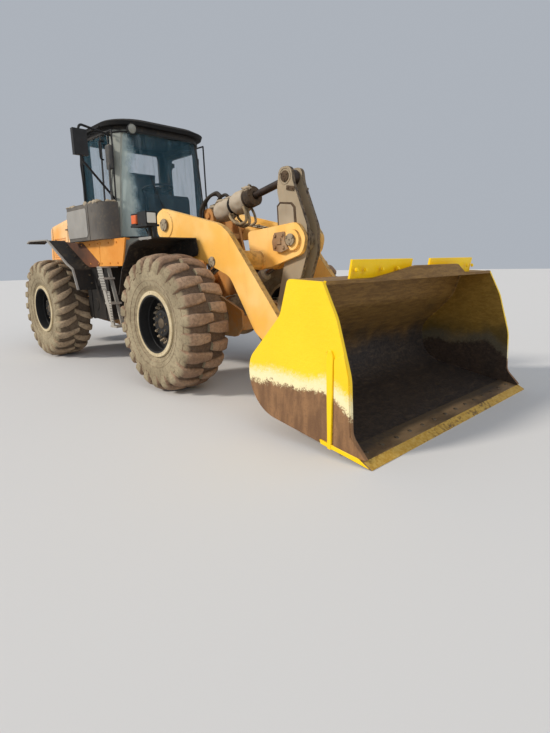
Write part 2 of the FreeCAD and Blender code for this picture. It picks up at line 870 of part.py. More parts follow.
def bucket_shell_outline():
    """The outside of the bucket's section: floor, heel, back wall and top."""
    return [
        (-edge_width, 0, 0),
        (-bucket_depth, 0, heel_radius),
        (-bucket_depth, heel_height, back_bend),
        (-back_knee[0], back_knee[1], back_bend),
        (-bucket_top_back, bucket_lip_height - top_slope, 40),
        (-bucket_lip_back, bucket_lip_height, 0),
    ]


def bucket_hollow_outline():
    """The inside of the same section, one plate in from it and open to the front."""
    t = bucket_plate
    return [
        (0, t, 0),
        (-bucket_depth + t, t, heel_radius - t),
        (-bucket_depth + t, heel_height, back_bend),
        (-back_knee[0] + t, back_knee[1], back_bend),
        (-bucket_top_back + t, bucket_lip_height - top_slope - t, 40),
        (-bucket_lip_back, bucket_lip_height - t, 0),
        (0, bucket_lip_height - t, 0),
    ]


def bucket():
    """A curved shell between two side plates, with pin ears behind and a raised centre lip."""
    half = bucket_width / 2
    side_outline = bucket_shell_outline() + [
        (-470, 905, 400),
        (-290, 540, 400),
        (-205, 155, 120),
        (-60, edge_plate + 10, 0),
        (-edge_width * 0.3, edge_plate, 0),
        (-edge_width, edge_plate, 0),
    ]
    side_plate = plate(side_outline, half - bucket_side, half)
    outer = bucket_shell_outline()
    body = plate(outer, -half + bucket_side - 1, half - bucket_side + 1)
    hollow = plate(bucket_hollow_outline(), -half * 2, half * 2)
    shell = body.cut(hollow)
    ear_outline = [
        (-1200, 60, 40),
        (-bucket_pin_back - 60, bucket_pin_up - 105, 80),
        (-bucket_pin_back - 115, bucket_pin_up + 60, 90),
        (-1160, 480, 60),
        (-1150, 300, 0),
    ]
    pieces = [shell] + both(side_plate)
    gap = side_play
    ears = []
    for inner_face, outer_face in ((arm_inner - gap - bucket_ear, arm_inner - gap),
                                   (arm_outer + 8 + gap, arm_outer + 8 + gap + bucket_ear)):
        ears += both(plate(ear_outline, inner_face, outer_face))
    link_inner = link_width / 2 + side_play
    link_ear = [
        (-1150, 330, 0),
        (-bucket_link_pin_back + 20, bucket_link_pin_up - 120, 60),
        (-bucket_link_pin_back - 95, bucket_link_pin_up - 40, 80),
        (-bucket_link_pin_back - 60, bucket_link_pin_up + 100, 80),
        (-bucket_link_pin_back + 80, bucket_link_pin_up + 110, 60),
        (-1040, 700, 0),
    ]
    ears += both(plate(link_ear, link_inner, link_inner + bucket_ear))
    ears = [ear.cut(hollow) for ear in ears]
    for side in (1, -1):
        near = side * (arm_inner - gap - bucket_ear)
        far = side * (arm_outer + 16 + gap + bucket_ear)
        low, high = sorted((near, far))
        ears.append(disc(-bucket_pin_back, bucket_pin_up, bucket_pin_radius, low, high))
    pin_half = link_inner + bucket_ear + 10
    ears.append(disc(-bucket_link_pin_back, bucket_link_pin_up, link_pin_radius,
                     -pin_half, pin_half))
    return in_bucket(fused(pieces + ears + [lip_sheet()]))


def lip_sheet():
    """The rolled lip over the mouth; its centre stands higher, with a long and a short ramp."""
    half = bucket_width / 2 - bucket_side
    low = bucket_lip_height - bucket_plate
    rows = [
        # across, top
        (-half, bucket_lip_height + 4),
        (-800, bucket_lip_height),
        (-570, bucket_lip_height + 30),
        (-200, bucket_lip_height + lip_rise),
        (560, bucket_lip_height + lip_rise),
        (745, bucket_lip_height + 4),
        (half, bucket_lip_height + 4),
    ]
    points = [V(0, half, low), V(0, -half, low)] + [V(0, y, z) for y, z in rows]
    face = Part.Face(Part.makePolygon(points + [points[0]]))
    sheet = face.extrude(V(lip_plate, 0, 0))
    sheet.translate(V(-bucket_lip_back - lip_plate / 2, 0, 0))
    return sheet


def cutting_edge():
    half = bucket_width / 2 + 8
    outline = [
        (0, 0, 0),
        (0, 8, 0),
        (-edge_bevel, edge_plate, 0),
        (-edge_width + seat, edge_plate, 0),
        (-edge_width + seat, 0, 0),
    ]
    return in_bucket(plate(outline, -half, half))


def spill_guard():
    """Two guard plates behind the lip, with a gap between them for the link."""
    slope = top_slope / (bucket_top_back - bucket_lip_back)
    front_face = bucket_lip_back + guard_setback
    rear_face = front_face + guard_plate
    top = bucket_lip_height + guard_height
    outline = [
        (-front_face, bucket_lip_height - slope * guard_setback + seat, 0),
        (-front_face, top, 0),
        (-rear_face, top, 0),
        (-rear_face, bucket_lip_height - slope * (guard_setback + guard_plate) + seat, 0),
    ]
    return in_bucket(Part.makeCompound(both(plate(outline, guard_inner, guard_outer))))


def strip(corners, thickness, y0, y1):
    """A bent sheet along an open line of corners; the second face lies to its left."""
    far = []
    count = len(corners)
    for index, (x, z, radius) in enumerate(corners):
        here = V(x, 0, z)
        before = V(corners[max(index - 1, 0)][0], 0, corners[max(index - 1, 0)][1])
        after = V(corners[min(index + 1, count - 1)][0], 0, corners[min(index + 1, count - 1)][1])
        normals = []
        for start, end in ((before, here), (here, after)):
            run = end - start
            if run.Length > 0:
                run.normalize()
                normals.append(V(-run.z, 0, run.x))
        miter = normals[0] + normals[-1]
        miter = miter * (2 / miter.dot(miter)) if len(normals) == 2 else normals[0]
        moved = here + miter * thickness
        turned = len(normals) == 2 and normals[0].cross(normals[1]).y < 0
        far_radius = radius - thickness if turned else radius + thickness
        far.append((moved.x, moved.z, far_radius if radius else 0))
    return plate(corners + list(reversed(far)), y0, y1)


def front_fenders():
    """A flat-topped fender each side with its inner wall and the bracket down to the frame."""
    corners = [
        (front(-770), 1020, 0),
        (front(-650), 1300, 200),
        (front(-430), 1560, 160),
        (front(-200), 1612, 160),
        (front(fender_front), 1618, 0),
    ]
    sheet = strip(corners, fender_sheet, fender_inner, front_fender_outer)
    wall = plate([
        (front(-650), 1300, 0),
        (front(-430), 1562, 150),
        (front(-200), 1615, 150),
        (front(fender_front), 1620, 0),
        (front(fender_front + 40), 1440, 60),
        (front(-480), 1400, 120),
    ], fender_inner, fender_inner + fender_sheet)
    bracket = box(front(-930), front(-870), frame_half + frame_plate + seat, fender_inner + 40,
                  1100, 1150)
    riser = box(front(-930), front(-715), fender_inner, fender_inner + 40, 1100, 1150)
    piece = fused([sheet, wall, bracket, riser])
    return Part.makeCompound(both(piece))


def headlamps():
    """A lamp and a marker on a post that stands on each front fender."""
    base = 1614.5 + fender_sheet + seat
    pieces = []
    for station in (-210, -120):
        pieces.append(post(front(station), lamp_side - 40, 22, base, lamp_bottom + 5))
    pieces.append(box(front(-440), front(-100), lamp_side - 90, lamp_side + 60, lamp_bottom,
                      lamp_bottom + 20))
    pieces.append(box(front(-300), front(-130), lamp_side - 80, lamp_side + 50, lamp_bottom + 19,
                      lamp_bottom + 150))
    pieces.append(box(front(-420), front(-330), lamp_side - 20, lamp_side + 60, lamp_bottom + 19,
                      lamp_bottom + 140))
    return Part.makeCompound(both(fused(pieces)))


def cab_share(z):
    return (z - cab_floor) / (cab_top - cab_floor)


def cab_half_at(z):
    return cab_half_low + (cab_half_high - cab_half_low) * cab_share(z)


def cab_ring(z, inset):
    """The cab's outline at a height, drawn in by inset."""
    ahead = rear(cab_front_low + (cab_front_high - cab_front_low) * cab_share(z)) - inset
    half = cab_half_at(z) - inset
    back = rear(cab_rear) + inset
    corners = [
        (back, half, 60 - inset / 2),
        (ahead, half, cab_corner - inset),
        (ahead, -half, cab_corner - inset),
        (back, -half, 60 - inset / 2),
    ]
    ring = rounded_wire(corners)
    ring.rotate(V(0, 0, 0), V(1, 0, 0), -90)
    ring.translate(V(0, 0, z))
    return ring


def cab_form(inset, z0, z1):
    return Part.makeLoft([cab_ring(z0, inset), cab_ring(z1, inset)], True, True)


def windows(shrink):
    """The spaces cut for glass: (x0, x1, y0, y1, z0, z1) from the hitch, drawn in by shrink."""
    reach = cab_half_low + 200
    rows = [
        # the wrapped windscreen with both corners
        (corner_post, cab_front_low + 200, -reach, reach, cab_sill, cab_top - header),
        # the right side window
        (rear_post, corner_post - post_width, -reach, -cab_half_low / 2, cab_sill,
         cab_top - header),
        # the rear window
        (cab_rear - 200, cab_rear + 200, -rear_window_half, rear_window_half,
         cab_sill + 150, cab_top - header),
    ]
    spaces = []
    for x0, x1, y0, y1, z0, z1 in rows:
        spaces.append(box(rear(x0) + shrink, rear(x1) - shrink, y0 + shrink, y1 - shrink,
                          z0 + shrink, z1 - shrink))
    return spaces


def door_space(shrink, bottom):
    return box(rear(rear_post) + shrink, rear(corner_post - post_width) - shrink,
               cab_half_low / 2, cab_half_low + 200, bottom + shrink, cab_top - header - shrink)


def door_hinge(z):
    """The door's hinge at one height: the post's bracket with its pin, and the door's knuckle."""
    x = rear(rear_post) + 5
    y = cab_half_low + door_hinge_out
    wall = cab_half_at(z) - 10
    brackets = []
    for low in (z - 46, z + 34):
        brackets.append(box(x - 60, x - 8, wall, y + door_hinge_radius, low, low + 12))
        brackets.append(post(x, y, door_hinge_radius, low, low + 12))
    bracket = fused(brackets + [post(x, y, 6, z - 46, z + 46)])
    knuckle = fused([
        post(x, y, door_hinge_radius, z - 30, z + 30),
        box(x, x + 70, y - 7, y + 5, z - 30, z + 30),
        box(x + 45, x + 70, wall, y + 5, z - 30, z + 30),
    ])
    return bracket, knuckle.cut(post(x, y, 6 + pin_play, z - 40, z + 40))


def cab_shell():
    floor_top = cab_floor + cab_floor_plate
    walls = cab_form(0, cab_floor, cab_top).cut(cab_form(cab_wall, floor_top, cab_top + 50))
    walls = walls.cut(windows(0) + [door_space(0, floor_top)])
    return fused([walls] + [door_hinge(z)[0] for z in door_hinge_heights])


def glass_sheet():
    inset = (cab_wall - glass_plate) / 2
    outside = cab_form(inset, cab_floor, cab_top)
    return outside.cut(cab_form(inset + glass_plate, cab_floor - 10, cab_top + 10))


def cab_glass():
    sheet = glass_sheet()
    panes = [sheet.common(space) for space in windows(seat)]
    return Part.makeCompound([solid for pane in panes for solid in pane.Solids])


def door_window(shrink):
    return box(rear(rear_post + door_frame) + shrink,
               rear(corner_post - post_width - door_frame) - shrink,
               cab_half_low / 2, cab_half_low + 200, cab_sill + shrink,
               cab_top - header - door_frame - shrink)


def cab_door():
    floor_top = cab_floor + cab_floor_plate
    walls = cab_form(0, floor_top, cab_top).cut(cab_form(cab_wall, floor_top - 10, cab_top + 10))
    leaf = walls.common(door_space(door_gap, floor_top)).cut(door_window(0))
    return fused([leaf] + [door_hinge(z)[1] for z in door_hinge_heights])


def door_glass():
    return glass_sheet().common(door_window(seat))


def cab_roof():
    def ring(z, shrink):
        corners = [
            (rear(roof_rear) + shrink, roof_half - shrink, 90),
            (rear(roof_front) - shrink, roof_half - shrink, roof_corner),
            (rear(roof_front) - shrink, -roof_half + shrink, roof_corner),
            (rear(roof_rear) + shrink, -roof_half + shrink, 90),
        ]
        wire = rounded_wire(corners)
        wire.rotate(V(0, 0, 0), V(1, 0, 0), -90)
        wire.translate(V(0, 0, z))
        return wire
    low = cab_top + seat
    rim_part = Part.makeLoft([ring(low, 12), ring(low + roof_rise * 0.5, 0)], True, True)
    crown = Part.makeLoft([ring(low + roof_rise * 0.5, 0), ring(low + roof_rise, 70)], True, True)
    return fused([rim_part, crown])


def operator_seat():
    base = cab_floor + cab_floor_plate + seat
    x = rear(seat_station)
    pieces = [
        box(x - 200, x + 200, -210, 210, base, base + 330),
        box(x - 120, x + 120, -130, 130, base + 329, base + 560),
        box(x - 250, x + 250, -250, 250, base + 559, base + 680),
    ]
    back = plate([
        (x - 250, base + 670, 0),
        (x - 130, base + 670, 30),
        (x - 200, base + 1250, 40),
        (x - 310, base + 1250, 40),
    ], -240, 240)
    return fused(pieces + [back])


def steering_column():
    """The column that leans back to its wheel."""
    foot = V(rear(column_station), 0, cab_floor + cab_floor_plate + seat)
    head = V(rear(column_station - 170), 0, wheel_height)
    lean = (head - foot).normalize()
    column = bar(V(foot.x, 0, foot.z + 20), head, 45)
    base = post(foot.x, 0, 55, foot.z, foot.z + 40)
    ring = Part.makeTorus(205, 16, head, lean)
    spokes = bar(head - V(0, 200, 0), head + V(0, 200, 0), 12)
    return fused([column, base, ring, spokes])


def console():
    """The dark instrument box ahead of the column and the arm console at the seat's right."""
    base = cab_floor + cab_floor_plate + seat
    x = rear(column_station)
    dash = plate([
        (x + 60, base, 0),
        (x + 130, base, 0),
        (x + 112, base + 800, 12),
        (x + 60, base + 880, 12),
    ], -330, 330)
    side_box = plate([
        (rear(seat_station - 330), base, 0),
        (rear(seat_station + 250), base, 0),
        (rear(seat_station + 250), base + 800, 50),
        (rear(seat_station - 330), base + 800, 50),
    ], -520, -330)
    return Part.makeCompound([dash, side_box])


def air_unit():
    """The grey plastic housing beside the cab, over the right platform."""
    low = platform_top + seat
    near = -cab_half_low - 12
    corners = [
        (rear(air_unit_rear), near, 0),
        (rear(air_unit_front), near, 0),
        (rear(air_unit_front), -air_unit_outer, 150),
        (rear(air_unit_rear), -air_unit_outer, 60),
    ]
    body = slab(corners, low, air_unit_top)
    return body


def side_platforms():
    """The walkways: a deep panel at the right, a shallow one under the door at the left."""
    return Part.makeCompound([mirrored(platform(platform_top)), platform(left_platform_top)])


def platform(top):
    """A walkway on the left side with its outer panel up to a height."""
    inner = cab_half_low + 8
    rise = (top - platform_bottom) / (platform_top - platform_bottom)
    outer_plate = plate([
        (rear(platform_rear - 210 * rise), top, 0),
        (rear(platform_rear), platform_bottom, 0),
        (rear(platform_front - 130), platform_bottom, 0),
        (rear(platform_front - 130 * (1 - rise)), top, 0),
    ], platform_half - panel, platform_half)
    walk = slab([
        (rear(platform_rear - 210 * rise), inner, 0),
        (rear(platform_rear - 210 * rise), platform_half - 1, 0),
        (rear(platform_front - 130 * (1 - rise) - 5), platform_half - 1, 0),
        (rear(cab_front_low + 40), inner, 0),
    ], top - panel, top)
    ledge = box(rear(tank_rear), rear(tank_front), tank_inner + 20, platform_half - 1,
                platform_bottom, platform_bottom + panel / 2)
    return fused([outer_plate, walk, ledge])


def side_tanks():
    """A tank each side under the platform, on a beam from the frame."""
    tank = plate([
        (rear(tank_rear), tank_bottom, 50),
        (rear(tank_front), tank_bottom, 50),
        (rear(tank_front), platform_bottom - seat, 30),
        (rear(tank_rear), platform_bottom - seat, 30),
    ], tank_inner, tank_outer)
    beam = box(rear(tank_rear + 30), rear(tank_rear + 130), frame_half + frame_plate + seat,
               tank_inner + 1, frame_top - 120, frame_top - 20)
    return Part.makeCompound(both(fused([tank, beam])))


def rear_fenders():
    """Bent sheets that rise from the steps over the rear wheels."""
    corners = [
        (rear(-2300), 1735, 0),
        (rear(-2180), 1765, 80),
        (rear(-1450), 1745, 120),
        (rear(-800), 1395, 80),
        (rear(-615), 1320, 60),
        (rear(-505), 1040, 0),
    ]
    sheet = strip(corners, -fender_sheet, platform_half + seat, rear_fender_outer)
    return Part.makeCompound(both(sheet))


def steps():
    """A ladder each side that hangs from the platform, with its handrail."""
    outer = step_outer
    inner = outer - step_width
    treads = []
    # (station, height) of each tread's rear edge
    for station, z in ((-145, 1180), (-10, 860), (80, 560)):
        treads.append(box(rear(station), rear(station + step_depth), inner, outer, z, z + 25))
    stringers = []
    for y in (inner, outer - 20):
        stringers.append(plate([
            (rear(-160), 1340, 0),
            (rear(-80), 1340, 0),
            (rear(200), 560, 0),
            (rear(120), 560, 0),
        ], y, y + 20))
    top_plate = box(rear(-165), rear(-70), platform_half - 130, outer, platform_bottom - seat - 20,
                    platform_bottom - seat)
    ladder = fused(treads + stringers + [top_plate])
    return Part.makeCompound(both(ladder))


def counterweight():
    low = counterweight_bottom
    back = rear(-rear_reach)
    ahead = rear(-rear_frame_end) - seat
    corners = mirrored_corners([
        (ahead, counterweight_half, 60),
        (back + 160, counterweight_half, 160),
        (back, counterweight_half - 190, 160),
    ])
    body = slab(corners, low, counterweight_top)
    slot_top = low + 130
    slot = box(back - 10, back + 120, -100, 100, low + 60, slot_top)
    pin_way = post(back + 60, 0, tow_bore_radius, low - 10, counterweight_top + 10)
    return body.cut([slot, pin_way])


def engine():
    """The engine as one plain block on four feet between the frame's plates."""
    pieces = [box(rear(-2500), rear(-1250), -engine_half, engine_half, 1010, 1800)]
    for station in (-2400, -1350):
        reach = frame_half - seat
        pieces.append(box(rear(station - 50), rear(station + 50), -reach, reach, 1015, 1060))
    return fused(pieces)


def hood_ring(x, top, inset):
    """A section of the hood: straight sides that lean in to a rounded top."""
    corners = [
        (hood_half - inset, hood_base - (1 if inset else 0), 0),
        (hood_half_top + 20 - inset, top - 10 - inset, 110 - inset),
        (-hood_half_top - 20 + inset, top - 10 - inset, 110 - inset),
        (-hood_half + inset, hood_base - (1 if inset else 0), 0),
    ]
    ring = rounded_wire(corners)
    ring.rotate(V(0, 0, 0), V(0, 0, 1), 90)
    ring.translate(V(x, 0, 0))
    return ring


def hood_form():
    """The hood's outside as one solid."""
    return Part.makeLoft([hood_ring(rear(hood_front), hood_front_top, 0),
                          hood_ring(rear(hood_rear), hood_rear_top, 0)], True, True)


def hood():
    """The engine cover: a shell open below and to the front, with hinge lugs inside."""
    ahead = rear(hood_front)
    back = rear(hood_rear)
    slope = (hood_front_top - hood_rear_top) / (ahead - back)
    inner_front = hood_front_top + slope * 10
    inside = Part.makeLoft([
        hood_ring(ahead + 10, inner_front, hood_wall),
        hood_ring(back + hood_wall, hood_rear_top + slope * hood_wall, hood_wall),
    ], True, True)
    opening = box(back - 50, back + hood_wall + 50, -grille_half, grille_half, grille_bottom,
                  grille_top)
    shell = hood_form().cut([inside, opening])
    hinge = (ahead - hood_hinge_back, hood_front_top - hood_hinge_drop)
    lug = box(hinge[0] - 40, hinge[0] + 40, hood_lug, hood_lug + hood_lug_plate, hinge[1] - 45,
              hood_top_at(hinge[0] + 40) - hood_wall / 2)
    lug = lug.cut(disc(hinge[0], hinge[1], hood_pin_radius + pin_play, 0, hood_half))
    return fused([shell] + both(lug))


def rear_grille():
    """Slats across the opening in the hood's rear face."""
    back = rear(hood_rear)
    frame = box(back, back + hood_wall, -grille_half + seat, grille_half - seat,
                grille_bottom + seat, grille_top - seat)
    frame = frame.cut(box(back - 5, back + hood_wall + 5, -grille_half + 30, grille_half - 30,
                          grille_bottom + 30, grille_top - 30))
    slats = []
    pitch = (grille_top - grille_bottom - 60) / (grille_slats + 1)
    for index in range(grille_slats):
        z = grille_bottom + 30 + pitch * (index + 1)
        slats.append(box(back + 5, back + hood_wall - 5, -grille_half + 29, grille_half - 29,
                         z - 6, z + 6))
    return fused([frame] + slats)


def exhaust():
    x = rear(hood_front - 640)
    base = hood_top_at(x)
    pipe = post(x, 220, 62, base - 40, base + 420)
    outlet = post(x, 220, 74, base + 60, base + 260)
    lid = hood_form()
    lid.translate(V(0, 0, seat))
    return fused([pipe, outlet]).cut(lid)


def hood_top_at(x):
    share = (rear(hood_front) - x) / (hood_front - hood_rear)
    return hood_front_top + (hood_rear_top - hood_front_top) * share


def rear_lamps():
    back = rear(-rear_reach)
    lamp = box(back + 170, back + 230, counterweight_half - 170, counterweight_half - 20,
               counterweight_top + seat, counterweight_top + 110)
    return Part.makeCompound(both(lamp))


def mirror():
    """The right outer mirror on a bent tube from the cab's top corner down to its side."""
    x = rear(mirror_station)
    root = rear(corner_post - post_width / 2)
    high = cab_top - 120
    low = air_unit_top + 60
    tube = bent_bar([
        V(root, 20 - cab_half_at(high), high),
        V(x, -mirror_side, mirror_top + 60),
        V(x, -mirror_side, mirror_top - mirror_height - 40),
        V(root, 20 - cab_half_at(low), low),
    ], 14, 60)
    head = box(x - 30, x + 30, -mirror_side - mirror_half, -mirror_side + mirror_half,
               mirror_top - mirror_height, mirror_top)
    return fused([tube, head]).cut(cab_form(-seat, cab_floor, cab_top))


builders = {
    "front_frame": front_frame,
    "front_axle": front_axle,
    "front_fenders": front_fenders,
    "headlamps": headlamps,
    "lift_arms": lift_arms,
    "bell_crank": bell_crank,
    "bucket_link": bucket_link,
    "tilt_barrel": tilt_barrel,
    "tilt_rod": tilt_rod,
    "lift_barrels": lift_barrels,
    "lift_rods": lift_rods,
    "bucket": bucket,
    "cutting_edge": cutting_edge,
    "spill_guard": spill_guard,
    "rear_frame": rear_frame,
    "rear_axle": rear_axle,
    "counterweight": counterweight,
    "engine": engine,
    "hood": hood,
    "rear_grille": rear_grille,
    "exhaust": exhaust,
    "cab_shell": cab_shell,
    "cab_glass": cab_glass,
    "cab_roof": cab_roof,
    "cab_door": cab_door,
    "door_glass": door_glass,
    "operator_seat": operator_seat,
    "steering_column": steering_column,
    "console": console,
    "air_unit": air_unit,
    "side_platforms": side_platforms,
    "side_tanks": side_tanks,
    "rear_fenders": rear_fenders,
    "steps": steps,
    "mirror": mirror,
    "rear_lamps": rear_lamps,
}

os.makedirs("parts", exist_ok=True)
for name, build in builders.items():
    build().exportStep(f"parts/{name}.step")
for side_name, side in (("left", 1), ("right", -1)):
    steering_barrel(side).exportStep(f"parts/steering_barrel_{side_name}.step")
    steering_rod(side).exportStep(f"parts/steering_rod_{side_name}.step")
for end_name, axle_x, slant in (
    ("front", front_axle_x, front_lug_slant),
    ("rear", rear_axle_x, rear_lug_slant),
):
    pattern = lugged_tyre(slant)
    for side_name, side in (("left", 1), ("right", -1)):
        tyre(pattern, axle_x, side).exportStep(f"parts/tyre_{end_name}_{side_name}.step")
        rim(axle_x, side).exportStep(f"parts/rim_{end_name}_{side_name}.step")
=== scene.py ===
"""Looks for the wheel loader. Metres, in the part's own frame: +X forward, +Y left, +Z up."""
import math
import random

import bmesh
import bpy
from mathutils import Matrix, Vector, noise


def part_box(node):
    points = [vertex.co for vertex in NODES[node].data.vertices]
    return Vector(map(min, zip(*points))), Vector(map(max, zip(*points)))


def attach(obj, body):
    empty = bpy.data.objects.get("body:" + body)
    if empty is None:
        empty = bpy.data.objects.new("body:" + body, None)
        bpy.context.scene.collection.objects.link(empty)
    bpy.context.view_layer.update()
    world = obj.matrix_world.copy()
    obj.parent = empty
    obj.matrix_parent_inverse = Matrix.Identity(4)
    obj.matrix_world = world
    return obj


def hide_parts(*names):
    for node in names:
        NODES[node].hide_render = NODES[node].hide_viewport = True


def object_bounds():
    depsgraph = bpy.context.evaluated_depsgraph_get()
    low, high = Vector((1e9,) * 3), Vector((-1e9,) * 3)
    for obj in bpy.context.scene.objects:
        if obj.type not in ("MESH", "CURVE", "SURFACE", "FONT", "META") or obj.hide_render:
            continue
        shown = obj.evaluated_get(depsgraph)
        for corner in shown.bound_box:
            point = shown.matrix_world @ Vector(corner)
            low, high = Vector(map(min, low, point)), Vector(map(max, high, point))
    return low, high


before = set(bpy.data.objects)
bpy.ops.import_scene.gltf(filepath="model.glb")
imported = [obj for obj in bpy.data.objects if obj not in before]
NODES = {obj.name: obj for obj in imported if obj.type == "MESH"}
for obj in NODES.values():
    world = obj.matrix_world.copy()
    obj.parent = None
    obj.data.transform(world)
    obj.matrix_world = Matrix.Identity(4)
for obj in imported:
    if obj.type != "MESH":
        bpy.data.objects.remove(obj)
CAD_LOW, CAD_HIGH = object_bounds()
random.seed(11)

SIDES = (("left", 1), ("right", -1))


def middle(node):
    low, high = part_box(node)
    return (low + high) / 2


FRONT_X = middle("tyre_front_left").x
REAR_X = middle("tyre_rear_left").x
HITCH_X = (FRONT_X + REAR_X) / 2
TRACK = middle("tyre_front_left").y
AXLE_Z = middle("tyre_front_left").z


# Materials: each is a small node graph in object space, so it stays with its piece as that moves.

class Graph:
    """Builds one material's node graph."""

    def __init__(self, name):
        self.material = bpy.data.materials.new(name)
        self.material.use_nodes = True
        self.tree = self.material.node_tree
        self.tree.nodes.clear()
        self.out = self.tree.nodes.new("ShaderNodeOutputMaterial")
        self.shader = self.tree.nodes.new("ShaderNodeBsdfPrincipled")
        self.tree.links.new(self.shader.outputs[0], self.out.inputs[0])
        self.coords = self.tree.nodes.new("ShaderNodeTexCoord")
        self.place = self.coords.outputs["Object"]

    def node(self, kind, **settings):
        made = self.tree.nodes.new(kind)
        for key, value in settings.items():
            setattr(made, key, value)
        return made

    def feed(self, socket, value):
        if hasattr(value, "is_output"):
            self.tree.links.new(value, socket)
        else:
            socket.default_value = value

    def set(self, **values):
        for key, value in values.items():
            self.feed(self.shader.inputs[key.replace("_", " ")], value)
        return self

    def math(self, operation, a, b=0.0, clamp=False):
        made = self.node("ShaderNodeMath", operation=operation, use_clamp=clamp)
        self.feed(made.inputs[0], a)
        self.feed(made.inputs[1], b)
        return made.outputs[0]

    def times(self, a, b, clamp=False):
        return self.math("MULTIPLY", a, b, clamp)

    def plus(self, a, b):
        return self.math("ADD", a, b)

    def minus(self, a, b):
        return self.math("SUBTRACT", a, b)

    def most(self, a, b):
        return self.math("MAXIMUM", a, b)

    def size_of(self, a):
        return self.math("ABSOLUTE", a)

    def stretch(self, scale, turn=(0, 0, 0)):
        made = self.node("ShaderNodeMapping")
        self.feed(made.inputs["Vector"], self.place)
        made.inputs["Scale"].default_value = scale
        made.inputs["Rotation"].default_value = turn
        return made.outputs[0]

    def noise(self, scale, detail=4.0, rough=0.55, at=None, twist=0.0):
        made = self.node("ShaderNodeTexNoise")
        self.feed(made.inputs["Vector"], at or self.place)
        made.inputs["Scale"].default_value = scale
        made.inputs["Detail"].default_value = detail
        made.inputs["Roughness"].default_value = rough
        made.inputs["Distortion"].default_value = twist
        return made.outputs[0]

    def step(self, value, low, high):
        """0 below low, 1 above high, smooth between."""
        made = self.node("ShaderNodeMapRange", interpolation_type="SMOOTHSTEP")
        self.feed(made.inputs["Value"], value)
        made.inputs["From Min"].default_value = low
        made.inputs["From Max"].default_value = high
        return made.outputs["Result"]

    def mix(self, share, a, b):
        made = self.node("ShaderNodeMix", data_type="RGBA")
        self.feed(made.inputs[0], share)
        self.feed(made.inputs[6], a)
        self.feed(made.inputs[7], b)
        return made.outputs[2]

    def blend(self, share, a, b):
        made = self.node("ShaderNodeMix", data_type="FLOAT")
        self.feed(made.inputs[0], share)
        self.feed(made.inputs[2], a)
        self.feed(made.inputs[3], b)
        return made.outputs[0]

    def part_of(self, vector, axis):
        made = self.node("ShaderNodeSeparateXYZ")
        self.feed(made.inputs[0], vector)
        return made.outputs["XYZ".index(axis)]

    def facing(self, direction):
        """How much the surface faces a direction in the object's own frame."""
        made = self.node("ShaderNodeVectorMath", operation="DOT_PRODUCT")
        self.feed(made.inputs[0], self.coords.outputs["Normal"])
        made.inputs[1].default_value = Vector(direction).normalized()
        return made.outputs["Value"]

    def height(self):
        return self.part_of(self.place, "Z")

    def bump(self, height, strength, distance=0.01):
        made = self.node("ShaderNodeBump")
        made.inputs["Strength"].default_value = strength
        made.inputs["Distance"].default_value = distance
        self.feed(made.inputs["Height"], height)
        self.tree.links.new(made.outputs[0], self.shader.inputs["Normal"])
        return self

    def edge(self, radius):
        """1 along sharp edges, where paint rubs off first."""
        soft = self.node("ShaderNodeBevel", samples=4)
        soft.inputs["Radius"].default_value = radius
        hard = self.node("ShaderNodeNewGeometry")
        dot = self.node("ShaderNodeVectorMath", operation="DOT_PRODUCT")
        self.feed(dot.inputs[0], soft.outputs[0])
        self.feed(dot.inputs[1], hard.outputs["Normal"])
        return self.step(self.minus(1.0, dot.outputs["Value"]), 0.02, 0.25)


def rgb(red, green, blue):
    """A colour given as it looks on screen, 0 to 255, as the linear value that a shader takes."""
    def linear(value):
        value /= 255
        return value / 12.92 if value <= 0.04045 else ((value + 0.055) / 1.055) ** 2.4
    return (linear(red), linear(green), linear(blue), 1.0)


DUST = rgb(176, 152, 118)
DARK_DUST = rgb(104, 84, 62)
RUST = rgb(96, 54, 30)
RUST_DARK = rgb(48, 30, 22)
# Dark brown for the forward faces: painted shade mixed with grime
SHADE_AND_GRIME = rgb(46, 34, 27)


